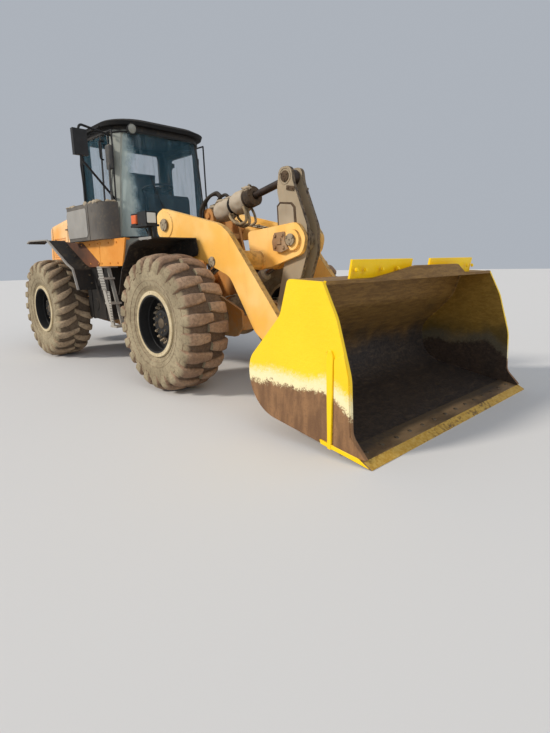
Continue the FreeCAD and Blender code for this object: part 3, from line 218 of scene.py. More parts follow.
def paint(name, colour, faded, dust=0.5, rough=0.42, rust=0.25, low_dust=1.0, metallic=0.0,
          edge=0.0, front_shade_and_grime=0.0, zone=None):
    """Old machine paint: faded in clouds, dusty on top faces and low down, chipped to rust.

    The front shade-and-grime share darkens the faces that look forward with painted shade mixed
    with grime.
    A zone is a function of the graph that gives a share and the two colours that take over there.
    """
    g = Graph(name)
    clouds = g.noise(1.7, 3.0, 0.6)
    fine = g.noise(26.0, 6.0, 0.62)
    streaks = g.noise(9.0, 4.0, 0.6, g.stretch((2.2, 2.2, 0.25)))
    colour_now = g.mix(g.step(clouds, 0.35, 0.68), colour, faded)
    if zone:
        share, zone_colour, zone_faded = zone(g)
        colour_now = g.mix(share, colour_now, g.mix(g.step(clouds, 0.35, 0.68), zone_colour,
                                                    zone_faded))
    colour_now = g.mix(g.times(g.step(streaks, 0.55, 0.75), 0.22), colour_now,
                       g.mix(0.5, colour, DARK_DUST))
    up = g.step(g.facing((0, 0, 1)), 0.25, 0.95)
    low = g.times(g.step(g.height(), 1.35, 0.25), low_dust)
    reach = g.most(up, low)
    patchy = g.step(g.plus(g.times(clouds, 0.5), g.times(fine, 0.5)), 0.36, 0.64)
    dusting = g.times(g.times(reach, patchy), dust, clamp=True)
    film = g.times(g.step(fine, 0.45, 0.8), 0.35 * dust)
    dusting = g.most(dusting, film)
    colour_now = g.mix(dusting, colour_now, DUST)
    if front_shade_and_grime:
        # Painted shade mixed with grime on the faces that look forward
        ahead_faces = g.step(g.facing((0.95, 0.0, 0.3)), 0.45, 0.8)
        smeared = g.step(g.plus(fine, streaks), 0.75, 1.1)
        grime = g.times(ahead_faces, g.blend(smeared, front_shade_and_grime, front_shade_and_grime * 0.55))
        colour_now = g.mix(grime, colour_now, SHADE_AND_GRIME)
    chips = g.step(g.noise(58.0, 5.0, 0.7), 0.735, 0.765)
    chips = g.times(chips, g.step(g.noise(4.0, 2.0), 0.5, 0.62))
    if edge:
        rub = g.times(g.edge(0.012), g.step(g.noise(30.0, 4.0, 0.7), 0.42, 0.58))
        chips = g.most(chips, g.times(rub, edge))
    chips = g.times(chips, min(1.0, rust * 2.5))
    colour_now = g.mix(chips, colour_now, g.mix(g.step(fine, 0.4, 0.6), RUST_DARK, RUST))
    roughness = g.blend(dusting, g.blend(g.step(fine, 0.3, 0.7), rough, rough + 0.14), 0.9)
    roughness = g.blend(chips, roughness, 0.85)
    g.set(Base_Color=colour_now, Roughness=roughness, Metallic=metallic)
    g.shader.inputs["Specular IOR Level"].default_value = 0.3
    g.bump(g.plus(g.times(fine, 0.5), g.times(chips, -0.6)), 0.22, 0.004)
    return g.material


ORANGE = rgb(246, 184, 84)
ORANGE_FADED = rgb(250, 204, 126)
# The arms' forward faces get painted shade mixed with grime
m_orange = paint("orange_paint", ORANGE, ORANGE_FADED, dust=0.34, edge=0.8, front_shade_and_grime=0.75)
m_orange_low = paint("orange_paint_muddy", rgb(196, 128, 54), rgb(178, 132, 82), dust=0.95,
                     rust=0.5, rough=0.6, edge=0.7)


def dusty_front_corner(g):
    """The cab's right front post and header are grey with dried dust."""
    ahead_of_post = g.step(g.part_of(g.place, "X"), HITCH_X - 0.17, HITCH_X - 0.13)
    right_side = g.step(g.part_of(g.place, "Y"), -0.40, -0.52)
    below_roof = g.step(g.plus(g.height(), g.times(g.noise(9.0, 3.0), 0.05)), 3.085, 3.060)
    share = g.times(g.times(ahead_of_post, right_side), below_roof)
    return g.times(share, 0.85), rgb(142, 146, 138), rgb(170, 174, 164)


m_hood = paint("hood_paint", rgb(236, 168, 88), rgb(246, 196, 140), dust=0.3)
m_black = paint("black_paint", rgb(26, 25, 25), rgb(44, 41, 38), dust=0.42, rough=0.46, rust=0.1)
m_cab = paint("cab_black", rgb(24, 24, 24), rgb(42, 40, 38), dust=0.36, rough=0.46, rust=0.1,
              zone=dusty_front_corner)
m_roof = paint("roof_black", rgb(10, 10, 11), rgb(18, 18, 18), dust=0.04, rough=0.7, rust=0.1)
m_walkway = paint("walkway_orange", rgb(216, 138, 48), rgb(230, 160, 74), dust=0.3, edge=0.8)
m_guard_black = paint("mudguard_black", rgb(24, 22, 21), rgb(38, 34, 31), dust=0.5, rough=0.55,
                      rust=0.05)
m_charcoal = paint("charcoal_paint", rgb(60, 60, 60), rgb(80, 78, 75), dust=0.6, rough=0.55)
# Painted shade: the brown stands for orange paint in shadow, with rust chips on it
m_orange_panel_in_shade = paint("orange_panel_painted_shade_and_rust", rgb(74, 50, 38), rgb(128, 76, 46), dust=0.2, rust=0.9,
                      rough=0.66)
# Near-black as painted shade: the side tanks, rear fenders and straps sit deep in shadow
m_tank_in_shade = paint("tank_black_painted_shade", rgb(16, 15, 15), rgb(24, 22, 21), dust=0.14, rough=0.6, low_dust=0.35)
m_grey_plastic = paint("grey_plastic", rgb(78, 74, 70), rgb(104, 99, 93), dust=0.45, rough=0.6,
                       rust=0.0)
m_light_plastic = paint("light_panel", rgb(136, 133, 128), rgb(154, 151, 146), dust=0.35,
                        rough=0.55, rust=0.0)
m_steps = paint("worn_grey_steel", rgb(146, 144, 138), rgb(170, 166, 158), dust=0.4, rust=0.5,
                rough=0.6, metallic=0.25, edge=0.8)
m_mud_grey = paint("muddy_cylinder", rgb(150, 136, 116), rgb(176, 164, 144), dust=0.85, rust=0.4,
                   rough=0.75)
# Grimy crank; its forward faces get painted shade mixed with grime
m_crank = paint("crank_grime", rgb(166, 150, 126), rgb(148, 134, 112), dust=0.6, rust=0.75,
                rough=0.7, edge=0.9, front_shade_and_grime=1.0)
m_grime_plate = paint("dark_grime", rgb(64, 50, 38), rgb(88, 70, 52), dust=0.4, rust=0.8, rough=0.8)
m_keeper = paint("rusty_keeper", rgb(132, 92, 58), rgb(166, 138, 108), dust=0.5, rust=1.0,
                 rough=0.8, edge=0.9)
m_axle = paint("axle_grime", rgb(96, 84, 70), rgb(124, 106, 84), dust=1.0, rust=0.5, rough=0.8)
m_guard_yellow = paint("fresh_yellow", rgb(246, 202, 12), rgb(249, 207, 18), dust=0.1, rust=0.3,
                       rough=0.34, low_dust=0.2)


def plain(name, colour, rough, metallic=0.0, grain=0.0, grain_scale=300.0, variation=0.12):
    """A small part's finish: one colour with a little unevenness and grain."""
    g = Graph(name)
    mottle = g.noise(14.0, 4.0, 0.6)
    dark = tuple(c * (1 - variation * 1.8) for c in colour[:3]) + (1.0,)
    g.set(Base_Color=g.mix(g.step(mottle, 0.35, 0.65), colour, dark), Metallic=metallic,
          Roughness=g.blend(g.step(mottle, 0.3, 0.7), rough, min(1.0, rough + 0.12)))
    g.shader.inputs["Specular IOR Level"].default_value = 0.5 if metallic else 0.3
    if grain:
        g.bump(g.noise(grain_scale, 2.0), grain, 0.001)
    return g.material


TILT_BASE = Vector((FRONT_X - 0.460, 0.0, 1.930))
TILT_WAY = Vector((0.978797, 0.0, 0.204831))
m_hose = plain("hose_rubber", rgb(58, 52, 46), 0.7, grain=0.25, variation=0.25)
m_hose_dusty = plain("dusty_hose", rgb(158, 138, 108), 0.85, grain=0.3, variation=0.3)
m_chrome = plain("rod_chrome", rgb(206, 208, 212), 0.12, metallic=1.0, variation=0.04)
m_zinc = plain("zinc_fitting", rgb(168, 160, 140), 0.4, metallic=0.85, variation=0.2)
m_bolt = plain("bolt_steel", rgb(112, 98, 80), 0.55, metallic=0.6, grain=0.2, variation=0.3)
m_dark_plastic = plain("dark_plastic", rgb(34, 34, 35), 0.5, grain=0.15)


def oily_rod_end(g):
    """The tilt cylinder's barrel is dark with oil from its mud crust to its gland."""
    along = g.plus(g.times(g.part_of(g.place, "X"), TILT_WAY.x), g.times(g.height(), TILT_WAY.z))
    start = TILT_BASE.dot(TILT_WAY)
    edge = g.plus(along, g.times(g.noise(20.0, 4.0), 0.03))
    return g.step(edge, start + 0.675, start + 0.690), rgb(50, 42, 36), rgb(70, 58, 48)


m_tilt_barrel = paint("tilt_barrel_mud", rgb(168, 156, 138), rgb(186, 174, 156), dust=0.6, rust=0.6,
                      rough=0.85, zone=oily_rod_end)
m_dirty_rod = plain("dirty_rod", rgb(74, 62, 56), 0.35, metallic=0.6, variation=0.3)
m_seat = plain("seat_cloth", rgb(40, 40, 43), 0.9, grain=0.5, grain_scale=500.0, variation=0.2)
# Oily dark; it also serves as painted shade in the tilt barrel's middle band and the ladder plate
# holes
m_oily_dark_and_shade = plain("oily_dark_and_painted_shade", rgb(22, 19, 17), 0.7, variation=0.3)


def glassy(name, colour, alpha, rough=0.05, dirt=0.4):
    """Thin glass with dust on it, denser towards its lower edge."""
    g = Graph(name)
    film = g.times(g.step(g.noise(3.0, 5.0, 0.65), 0.38, 0.75), dirt)
    g.set(Base_Color=g.mix(film, colour, rgb(196, 196, 186)), Roughness=g.blend(film, rough, 0.6),
          Alpha=g.blend(film, alpha, min(1.0, alpha + 0.45)))
    g.shader.inputs["IOR"].default_value = 1.45
    g.shader.inputs["Specular IOR Level"].default_value = 0.7
    g.material.surface_render_method = "BLENDED"
    return g.material


def cab_glass_material():
    """Lightly tinted glass, clear in the middle, caked pale with dust round both front corners."""
    g = Graph("cab_glass")
    y = g.part_of(g.place, "Y")
    ahead_of_post = g.step(g.part_of(g.place, "X"), HITCH_X - 0.05, HITCH_X + 0.02)
    ragged = g.plus(y, g.times(g.minus(g.noise(5.0, 5.0, 0.65), 0.5), 0.22))
    right_corner = g.step(ragged, -0.44, -0.58)
    left_corner = g.times(g.step(ragged, 0.56, 0.68), 0.45)
    caked = g.times(g.most(right_corner, left_corner), ahead_of_post)
    streaks = g.noise(11.0, 5.0, 0.6, g.stretch((1.6, 1.6, 0.22)))
    film = g.times(g.step(streaks, 0.45, 0.8), 0.16)
    low_film = g.times(g.step(g.height(), 1.95, 1.72), 0.22)
    film = g.most(film, low_film)
    cover = g.most(film, g.times(caked, g.blend(streaks, 0.95, 0.6)))
    g.set(Base_Color=g.mix(cover, rgb(70, 120, 140), rgb(188, 196, 186)),
          Roughness=g.blend(cover, 0.04, 0.7), Alpha=g.blend(cover, 0.09, 0.94))
    g.shader.inputs["IOR"].default_value = 1.45
    g.shader.inputs["Specular IOR Level"].default_value = 0.6
    g.material.surface_render_method = "BLENDED"
    return g.material


m_glass = cab_glass_material()
m_lens_red = glassy("red_lens", rgb(170, 28, 18), 0.92, rough=0.2, dirt=0.25)
m_lens_amber = glassy("amber_lens", rgb(226, 98, 24), 0.92, rough=0.2, dirt=0.25)
m_lens_dusty = glassy("dusty_lens", rgb(112, 112, 102), 0.9, rough=0.3, dirt=0.4)
m_lens_clear = glassy("clear_lens", rgb(214, 212, 204), 0.85, rough=0.15, dirt=0.3)


TYRE_TIP = middle("tyre_front_left").z
LUG_DEPTH = 0.043


def tyre_rubber(name, centre_x, worn, dusty):
    """Work tyre: brown lugs rubbed pale on top, grooves darkened with painted shade, tan mud dried
    on the side walls.
    """
    g = Graph(name)
    forward = g.minus(g.part_of(g.place, "X"), centre_x)
    up = g.minus(g.height(), AXLE_Z)
    off_middle = g.minus(g.size_of(g.part_of(g.place, "Y")), TRACK)
    off_middle = g.times(off_middle, off_middle)
    reach = g.math("SQRT", g.plus(g.times(forward, forward), g.times(up, up)))
    # The crown falls away towards the shoulders, and then the casing turns into the wall
    crown = g.plus(g.times(off_middle, 0.5), g.times(g.times(off_middle, off_middle), 7.0))
    sunk = g.minus(g.minus(TYRE_TIP, crown), reach)
    groove = g.step(sunk, LUG_DEPTH * 0.35, LUG_DEPTH * 0.85)
    groove = g.times(groove, g.step(sunk, LUG_DEPTH * 3.2, LUG_DEPTH * 2.0))
    groove = g.times(groove, g.step(off_middle, 0.056, 0.044))
    fine = g.noise(34.0, 7.0, 0.65)
    broad = g.noise(3.2, 4.0, 0.6)
    grit = g.noise(150.0, 3.0, 0.7)
    side = g.step(g.size_of(g.facing((0, 1, 0))), 0.55, 0.92)
    tread = g.mix(g.step(broad, 0.36, 0.66), worn, dusty)
    tread = g.mix(g.times(g.step(fine, 0.42, 0.62), 0.4), tread, rgb(84, 68, 56))
    # Painted shade in the grooves between the lugs
    tread = g.mix(g.times(groove, 0.72), tread, rgb(46, 34, 26))
    wall = g.mix(g.step(broad, 0.35, 0.62), rgb(136, 122, 96), rgb(160, 146, 118))
    wall = g.mix(g.times(g.step(fine, 0.46, 0.68), 0.55), wall, rgb(96, 84, 66))
    colour = g.mix(side, tread, wall)
    colour = g.mix(g.times(g.step(grit, 0.6, 0.72), 0.35), colour, rgb(178, 158, 124))
    g.set(Base_Color=colour, Roughness=g.blend(g.step(fine, 0.3, 0.7), 0.86, 0.97))
    g.bump(g.plus(g.times(fine, 1.0), g.times(grit, 0.35)), 0.55, 0.012)
    return g.material


# One rubber in two tones: the rear tread's lighter colours are painted light, the front's darker
# ones painted shade
m_tyres = {
    "front": tyre_rubber("tyre_rubber_front", FRONT_X, rgb(134, 106, 84), rgb(166, 138, 112)),
    "rear": tyre_rubber("tyre_rubber_rear", REAR_X, rgb(146, 124, 98), rgb(172, 150, 122)),
}


def rim_paint(name, centre_x):
    """Beige rim, rubbed at its flange, going to a near-black dish towards the hub: painted shadow
    over dark brown steel.
    """
    g = Graph(name)
    across = g.minus(g.part_of(g.place, "X"), centre_x)
    up = g.minus(g.height(), AXLE_Z)
    reach = g.math("SQRT", g.plus(g.times(across, across), g.times(up, up)))
    fine = g.noise(40.0, 6.0, 0.65)
    ragged = g.plus(reach, g.times(g.minus(fine, 0.5), 0.012))
    outer = g.step(ragged, 0.306, 0.316)
    beige = g.mix(g.step(g.noise(7.0, 4.0), 0.35, 0.65), rgb(182, 164, 128), rgb(204, 188, 154))
    beige = g.mix(g.times(g.step(fine, 0.52, 0.7), 0.6), beige, rgb(112, 92, 64))
    # The dish's near-black is painted shadow over dark brown steel
    dish = g.mix(g.step(fine, 0.45, 0.75), rgb(12, 11, 10), rgb(28, 24, 21))
    g.set(Base_Color=g.mix(outer, dish, beige), Roughness=g.blend(outer, 0.75, 0.8))
    g.bump(fine, 0.4, 0.006)
    return g.material


m_rims = {
    "front": rim_paint("rim_paint_front", FRONT_X),
    "rear": rim_paint("rim_paint_rear", REAR_X),
}


PAINT_EDGE_Z = 0.42
BUCKET_INNER_Y = 1.329


def bucket_steel():
    """Fresh yellow spray outside down to a pale band, bare rusty steel below; inside, rusty steel
    darkened towards the floor with painted shade.
    """
    g = Graph("bucket_steel")
    fine = g.noise(30.0, 7.0, 0.66)
    speck = g.noise(85.0, 4.0, 0.75)
    broad = g.noise(2.4, 4.0, 0.6)
    scratches = g.noise(16.0, 6.0, 0.7, g.stretch((1.0, 0.35, 2.4), turn=(0.0, 0.35, 0.0)), 0.6)
    y = g.part_of(g.place, "Y")
    x = g.part_of(g.place, "X")
    outward = g.times(g.part_of(g.coords.outputs["Normal"], "Y"), g.math("SIGN", y))
    inside = g.step(g.minus(g.facing((0.9, 0.0, 0.43)), outward), 0.18, 0.3)
    inside = g.times(inside, g.step(g.size_of(y), BUCKET_INNER_Y + 0.005, BUCKET_INNER_Y))
    # The band is level along the side and drops steeply ahead of the bar
    rise = g.times(g.minus(x, CAD_HIGH.x - 1.35), 0.045)
    drop = g.times(g.most(g.minus(x, CAD_HIGH.x - 0.38), 0.0), 0.8)
    level = g.plus(g.minus(g.minus(g.height(), rise), PAINT_EDGE_Z), drop)
    for texture, share in ((broad, 0.16), (fine, 0.12), (speck, 0.13)):
        level = g.plus(level, g.times(g.minus(texture, 0.5), share))
    yellow = g.mix(g.step(broad, 0.3, 0.7), rgb(247, 202, 10), rgb(250, 208, 18))
    yellow = g.mix(g.times(g.step(speck, 0.69, 0.72), 0.75), yellow, rgb(120, 96, 20))
    pale = g.mix(g.step(level, 0.05, 0.15), rgb(240, 226, 176), yellow)
    runs = g.noise(7.0, 5.0, 0.6, g.stretch((1.8, 1.8, 0.4)))
    worn = g.mix(g.step(runs, 0.36, 0.66), rgb(142, 104, 68), rgb(108, 76, 48))
    worn = g.mix(g.times(g.step(g.noise(46.0, 6.0, 0.7), 0.5, 0.66), 0.5), worn, rgb(104, 72, 50))
    outside = g.mix(g.step(level, -0.02, 0.02), worn, pale)
    # Inside, darker towards the floor: rust and painted shade
    floor_level = g.plus(g.height(), g.times(g.minus(broad, 0.5), 0.7))
    dark = g.mix(g.step(fine, 0.35, 0.7), rgb(40, 35, 34), rgb(66, 57, 50))
    dark = g.mix(g.times(g.step(scratches, 0.5, 0.72), 0.7), dark, rgb(92, 78, 64))
    upper = g.mix(g.step(scratches, 0.35, 0.68), rgb(118, 86, 42), rgb(152, 116, 60))
    inner = g.mix(g.step(floor_level, 0.45, 0.85), dark, upper)
    g.set(Base_Color=g.mix(inside, outside, inner),
          Roughness=g.blend(inside, g.blend(g.step(level, -0.02, 0.1), 0.75, 0.36), 0.55),
          Metallic=g.blend(inside, 0.0, 0.35))
    g.bump(g.plus(fine, g.times(scratches, 0.6)), 0.4, 0.008)
    return g.material


m_bucket = bucket_steel()


def edge_steel():
    """Cutting edge: dull yellow over-sprayed, rubbed to bare brown steel at its lip."""
    g = Graph("edge_steel")
    fine = g.noise(32.0, 6.0, 0.68)
    wide = g.noise(5.0, 4.0, 0.6, g.stretch((1.0, 0.4, 1.0)))
    front = g.step(g.facing((1.0, 0.0, 0.25)), 0.35, 0.8)
    yellow = g.mix(g.step(fine, 0.4, 0.62), rgb(196, 150, 42), rgb(214, 176, 84))
    brown = g.mix(g.step(wide, 0.35, 0.65), rgb(92, 72, 52), rgb(146, 118, 86))
    share = g.times(front, g.step(g.plus(fine, wide), 0.72, 0.98))
    behind = g.step(g.plus(g.part_of(g.place, "X"), g.times(wide, 0.08)),
                    CAD_HIGH.x - 0.10, CAD_HIGH.x - 0.16)
    top = g.mix(behind, brown, rgb(62, 52, 44))
    g.set(Base_Color=g.mix(share, top, yellow), Roughness=0.62, Metallic=0.3)
    g.bump(fine, 0.45, 0.006)
    return g.material


m_edge = edge_steel()

FINISH = {
    "front_frame": m_orange_low, "rear_frame": m_orange_low, "front_axle": m_axle,
    "rear_axle": m_axle, "front_fenders": m_guard_black, "headlamps": m_dark_plastic,
    "lift_arms": m_orange, "bell_crank": m_crank, "bucket_link": m_crank,
    "tilt_barrel": m_tilt_barrel, "lift_barrels": m_mud_grey, "steering_barrel_left": m_mud_grey,
    "steering_barrel_right": m_mud_grey, "tilt_rod": m_dirty_rod, "lift_rods": m_chrome,
    "steering_rod_left": m_chrome, "steering_rod_right": m_chrome, "bucket": m_bucket,
    "cutting_edge": m_edge, "spill_guard": m_guard_yellow, "counterweight": m_charcoal,
    "engine": m_oily_dark_and_shade, "hood": m_hood, "rear_grille": m_black, "exhaust": m_black,
    "cab_shell": m_cab, "cab_glass": m_glass, "cab_roof": m_roof, "cab_door": m_black,
    "door_glass": m_glass, "operator_seat": m_seat, "steering_column": m_dark_plastic,
    "console": m_dark_plastic, "air_unit": m_grey_plastic, "side_platforms": m_walkway,
    "side_tanks": m_tank_in_shade, "rear_fenders": m_tank_in_shade, "steps": m_steps,
    "mirror": m_dark_plastic, "rear_lamps": m_lens_red,
    "rim_front_left": m_rims["front"], "rim_front_right": m_rims["front"],
    "rim_rear_left": m_rims["rear"], "rim_rear_right": m_rims["rear"],
    "tyre_front_left": m_tyres["front"], "tyre_front_right": m_tyres["front"],
    "tyre_rear_left": m_tyres["rear"], "tyre_rear_right": m_tyres["rear"],
}
for node_name, material in FINISH.items():
    node_object = NODES[node_name]
    for place in node_object.material_slots:
        place.material = material
    if not node_object.material_slots:
        node_object.data.materials.append(material)


# Mesh helpers

class Piece:
    """Gathers simple solids into one mesh, which becomes one named piece of the scene."""

    def __init__(self):
        self.bm = bmesh.new()

    def box(self, low, high, turn=None):
        low, high = Vector(low), Vector(high)
        matrix = Matrix.Translation((low + high) / 2) @ Matrix.Diagonal((*(high - low), 1.0))
        if turn is not None:
            middle_at = Matrix.Translation((low + high) / 2)
            matrix = middle_at @ turn.to_4x4() @ middle_at.inverted() @ matrix
        bmesh.ops.create_cube(self.bm, size=1.0, matrix=matrix)
        return self

    def rod(self, start, end, radius, sides=20, end_radius=None):
        start, end = Vector(start), Vector(end)
        along = end - start
        turn = along.to_track_quat("Z", "Y").to_matrix().to_4x4()
        bmesh.ops.create_cone(self.bm, cap_ends=True, segments=sides, radius1=radius,
                              radius2=radius if end_radius is None else end_radius,
                              depth=along.length,
                              matrix=Matrix.Translation((start + end) / 2) @ turn)
        return self

    def skin(self, rings):
        """Joins closed rings of points, each to the next."""
        for here, there in zip(rings, rings[1:]):
            for k in range(len(here)):
                m = (k + 1) % len(here)
                self.bm.faces.new((here[k], here[m], there[m], there[k]))

    def lathe(self, profile, origin, axis, steps=48):
        """Turns (out, along) pairs about an axis. A closed profile gives a ring."""
        turn = Vector(axis).to_track_quat("Z", "Y").to_matrix()
        origin = Vector(origin)
        rings = []
        for i in range(steps):
            angle = 2 * math.pi * i / steps
            ring = []
            for out, along in profile:
                at = turn @ Vector((out * math.cos(angle), out * math.sin(angle), along))
                ring.append(self.bm.verts.new(origin + at))
            rings.append(ring)
        for i in range(steps):
            here, there = rings[i], rings[(i + 1) % steps]
            for j in range(len(profile) - 1):
                self.bm.faces.new((here[j], there[j], there[j + 1], here[j + 1]))
        return self

    def tube(self, points, radius, sides=10, steps=5):
        """A round tube along a smooth line through the points."""
        line = smooth_line([Vector(p) for p in points], steps)
        rings = []
        up = Vector((0, 0, 1))
        for i, at in enumerate(line):
            ahead = (line[min(i + 1, len(line) - 1)] - line[max(i - 1, 0)]).normalized()
            side = ahead.cross(up)
            if side.length < 0.05:
                side = ahead.cross(Vector((1, 0, 0)))
            side.normalize()
            over = side.cross(ahead)
            up = over
            wide = radius(i / (len(line) - 1)) if callable(radius) else radius
            rings.append([self.bm.verts.new(at + (side * math.cos(a) + over * math.sin(a)) * wide)
                          for a in [2 * math.pi * k / sides for k in range(sides)]])
        self.skin(rings)
        self.bm.faces.new(list(reversed(rings[0])))
        self.bm.faces.new(rings[-1])
        return self

    def prism(self, outline, low, high, axis="Y"):
        """An outline of two coordinates pushed along an axis."""
        def at(u, v, w):
            return {"X": (w, u, v), "Y": (u, w, v), "Z": (u, v, w)}[axis]
        near = [self.bm.verts.new(at(u, v, low)) for u, v in outline]
        far = [self.bm.verts.new(at(u, v, high)) for u, v in outline]
        self.bm.faces.new(near)
        self.bm.faces.new(list(reversed(far)))
        for i in range(len(outline)):
            j = (i + 1) % len(outline)
            self.bm.faces.new((near[j], near[i], far[i], far[j]))
        return self

    def bolt(self, at, outward, radius=0.014, height=0.010):
        """A hexagon head on a washer."""
        at, outward = Vector(at), Vector(outward).normalized()
        self.rod(at - outward * 0.004, at + outward * height * 0.3, radius * 1.35, 18)
        self.rod(at + outward * height * 0.25, at + outward * height, radius, 6)
        return self

    def strip(self, points, width, thick, normal):
        """A flat strip bent along points, standing on a surface with that normal."""
        normal = Vector(normal).normalized()
        rings = []
        line = [Vector(p) for p in points]
        for i, at in enumerate(line):
            ahead = (line[min(i + 1, len(line) - 1)] - line[max(i - 1, 0)]).normalized()
            side = ahead.cross(normal).normalized()
            rings.append([self.bm.verts.new(at + side * width / 2 * a + normal * thick * b)
                          for a, b in ((-1, 0), (1, 0), (1, 1), (-1, 1))])
        self.skin(rings)
        self.bm.faces.new(list(reversed(rings[0])))
        self.bm.faces.new(rings[-1])
        return self

    def done(self, name, material, body, slot, bevel=0.0, smooth=35.0, segments=2):
        bmesh.ops.recalc_face_normals(self.bm, faces=self.bm.faces[:])
        mesh = bpy.data.meshes.new(name)
        self.bm.to_mesh(mesh)
        self.bm.free()
        mesh.materials.append(material)
        if smooth:
            mesh.polygons.foreach_set("use_smooth", [True] * len(mesh.polygons))
            mesh.set_sharp_from_angle(angle=math.radians(smooth))
        made = bpy.data.objects.new(name, mesh)
        bpy.context.scene.collection.objects.link(made)
        if bevel:
            round_off = made.modifiers.new("edges", "BEVEL")
            round_off.width = bevel
            round_off.segments = segments
            round_off.limit_method = "ANGLE"
            round_off.angle_limit = math.radians(35)
        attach(made, body)
        return made


def smooth_line(points, steps):
    """Points along a curve through the given ones."""
    if len(points) == 2:
        return [points[0].lerp(points[1], i / steps) for i in range(steps + 1)]
    line = []
    ends = [points[0] * 2 - points[1]] + points + [points[-1] * 2 - points[-2]]
    for i in range(1, len(ends) - 2):
        a, b, c, d = ends[i - 1:i + 3]
        for j in range(steps):
            t = j / steps
            line.append(0.5 * ((2 * b) + (c - a) * t + (2 * a - 5 * b + 4 * c - d) * t * t
                               + (3 * b - a - 3 * c + d) * t * t * t))
    return line + [points[-1]]


# Tyres: a lathe-turned casing with separate rounded lugs that wrap its shoulders

CROWN = TYRE_TIP - LUG_DEPTH
CASING = [
    # (distance from the tyre's middle, radius) from the crown down to the bead
    (0.000, CROWN), (0.070, CROWN - 0.001), (0.130, CROWN - 0.005), (0.180, CROWN - 0.015),
    (0.214, CROWN - 0.034), (0.234, CROWN - 0.064),
    (0.243, 0.600), (0.2485, 0.560), (0.2500, 0.520), (0.2470, 0.480), (0.2400, 0.445),
    (0.2300, 0.412), (0.2210, 0.392), (0.2180, 0.386), (0.2130, 0.380), (0.2080, 0.366),
    (0.2060, 0.352), (0.2030, 0.343), (0.196, 0.338),
]
CASING_STEPS = 132
LUGS_EACH_SIDE = 22
LUG_STEPS = 11
# A lug runs over the crown for the first share of its length, then down the side wall
CROWN_SHARE = 0.62
SHOULDER_Y = 0.205
LUG_END = 7.2 / (len(CASING) - 1)
LUG_HEADS = (0.018, -0.030)
# The lug's section: across, in half widths, and up, in lug heights
LUG_SECTION = ((-1.32, -0.25), (-1.10, 0.35), (-0.98, 0.84), (-0.80, 0.985), (0.0, 1.0),
               (0.80, 0.985), (0.98, 0.84), (1.10, 0.35), (1.32, -0.25))
# Raised rings on each side wall: radius, height and half width
WALL_RINGS = ((0.585, 0.004, 0.004), (0.462, 0.0035, 0.003), (0.405, 0.004, 0.003))


def casing_at(s):
    """The place and outward direction on the casing's section, at a share of its length."""
    spot = s * (len(CASING) - 1)
    i = min(int(spot), len(CASING) - 2)
    here, there = Vector(CASING[i]), Vector(CASING[i + 1])
    at = here.lerp(there, spot - i)
    along = (there - here).normalized()
    return at, Vector((-along.y, along.x))


def lug_station(y):
    for i in range(len(CASING) - 1):
        if CASING[i][0] <= y <= CASING[i + 1][0]:
            return (i + (y - CASING[i][0]) / (CASING[i + 1][0] - CASING[i][0])) / (len(CASING) - 1)
    return 5.0 / (len(CASING) - 1)


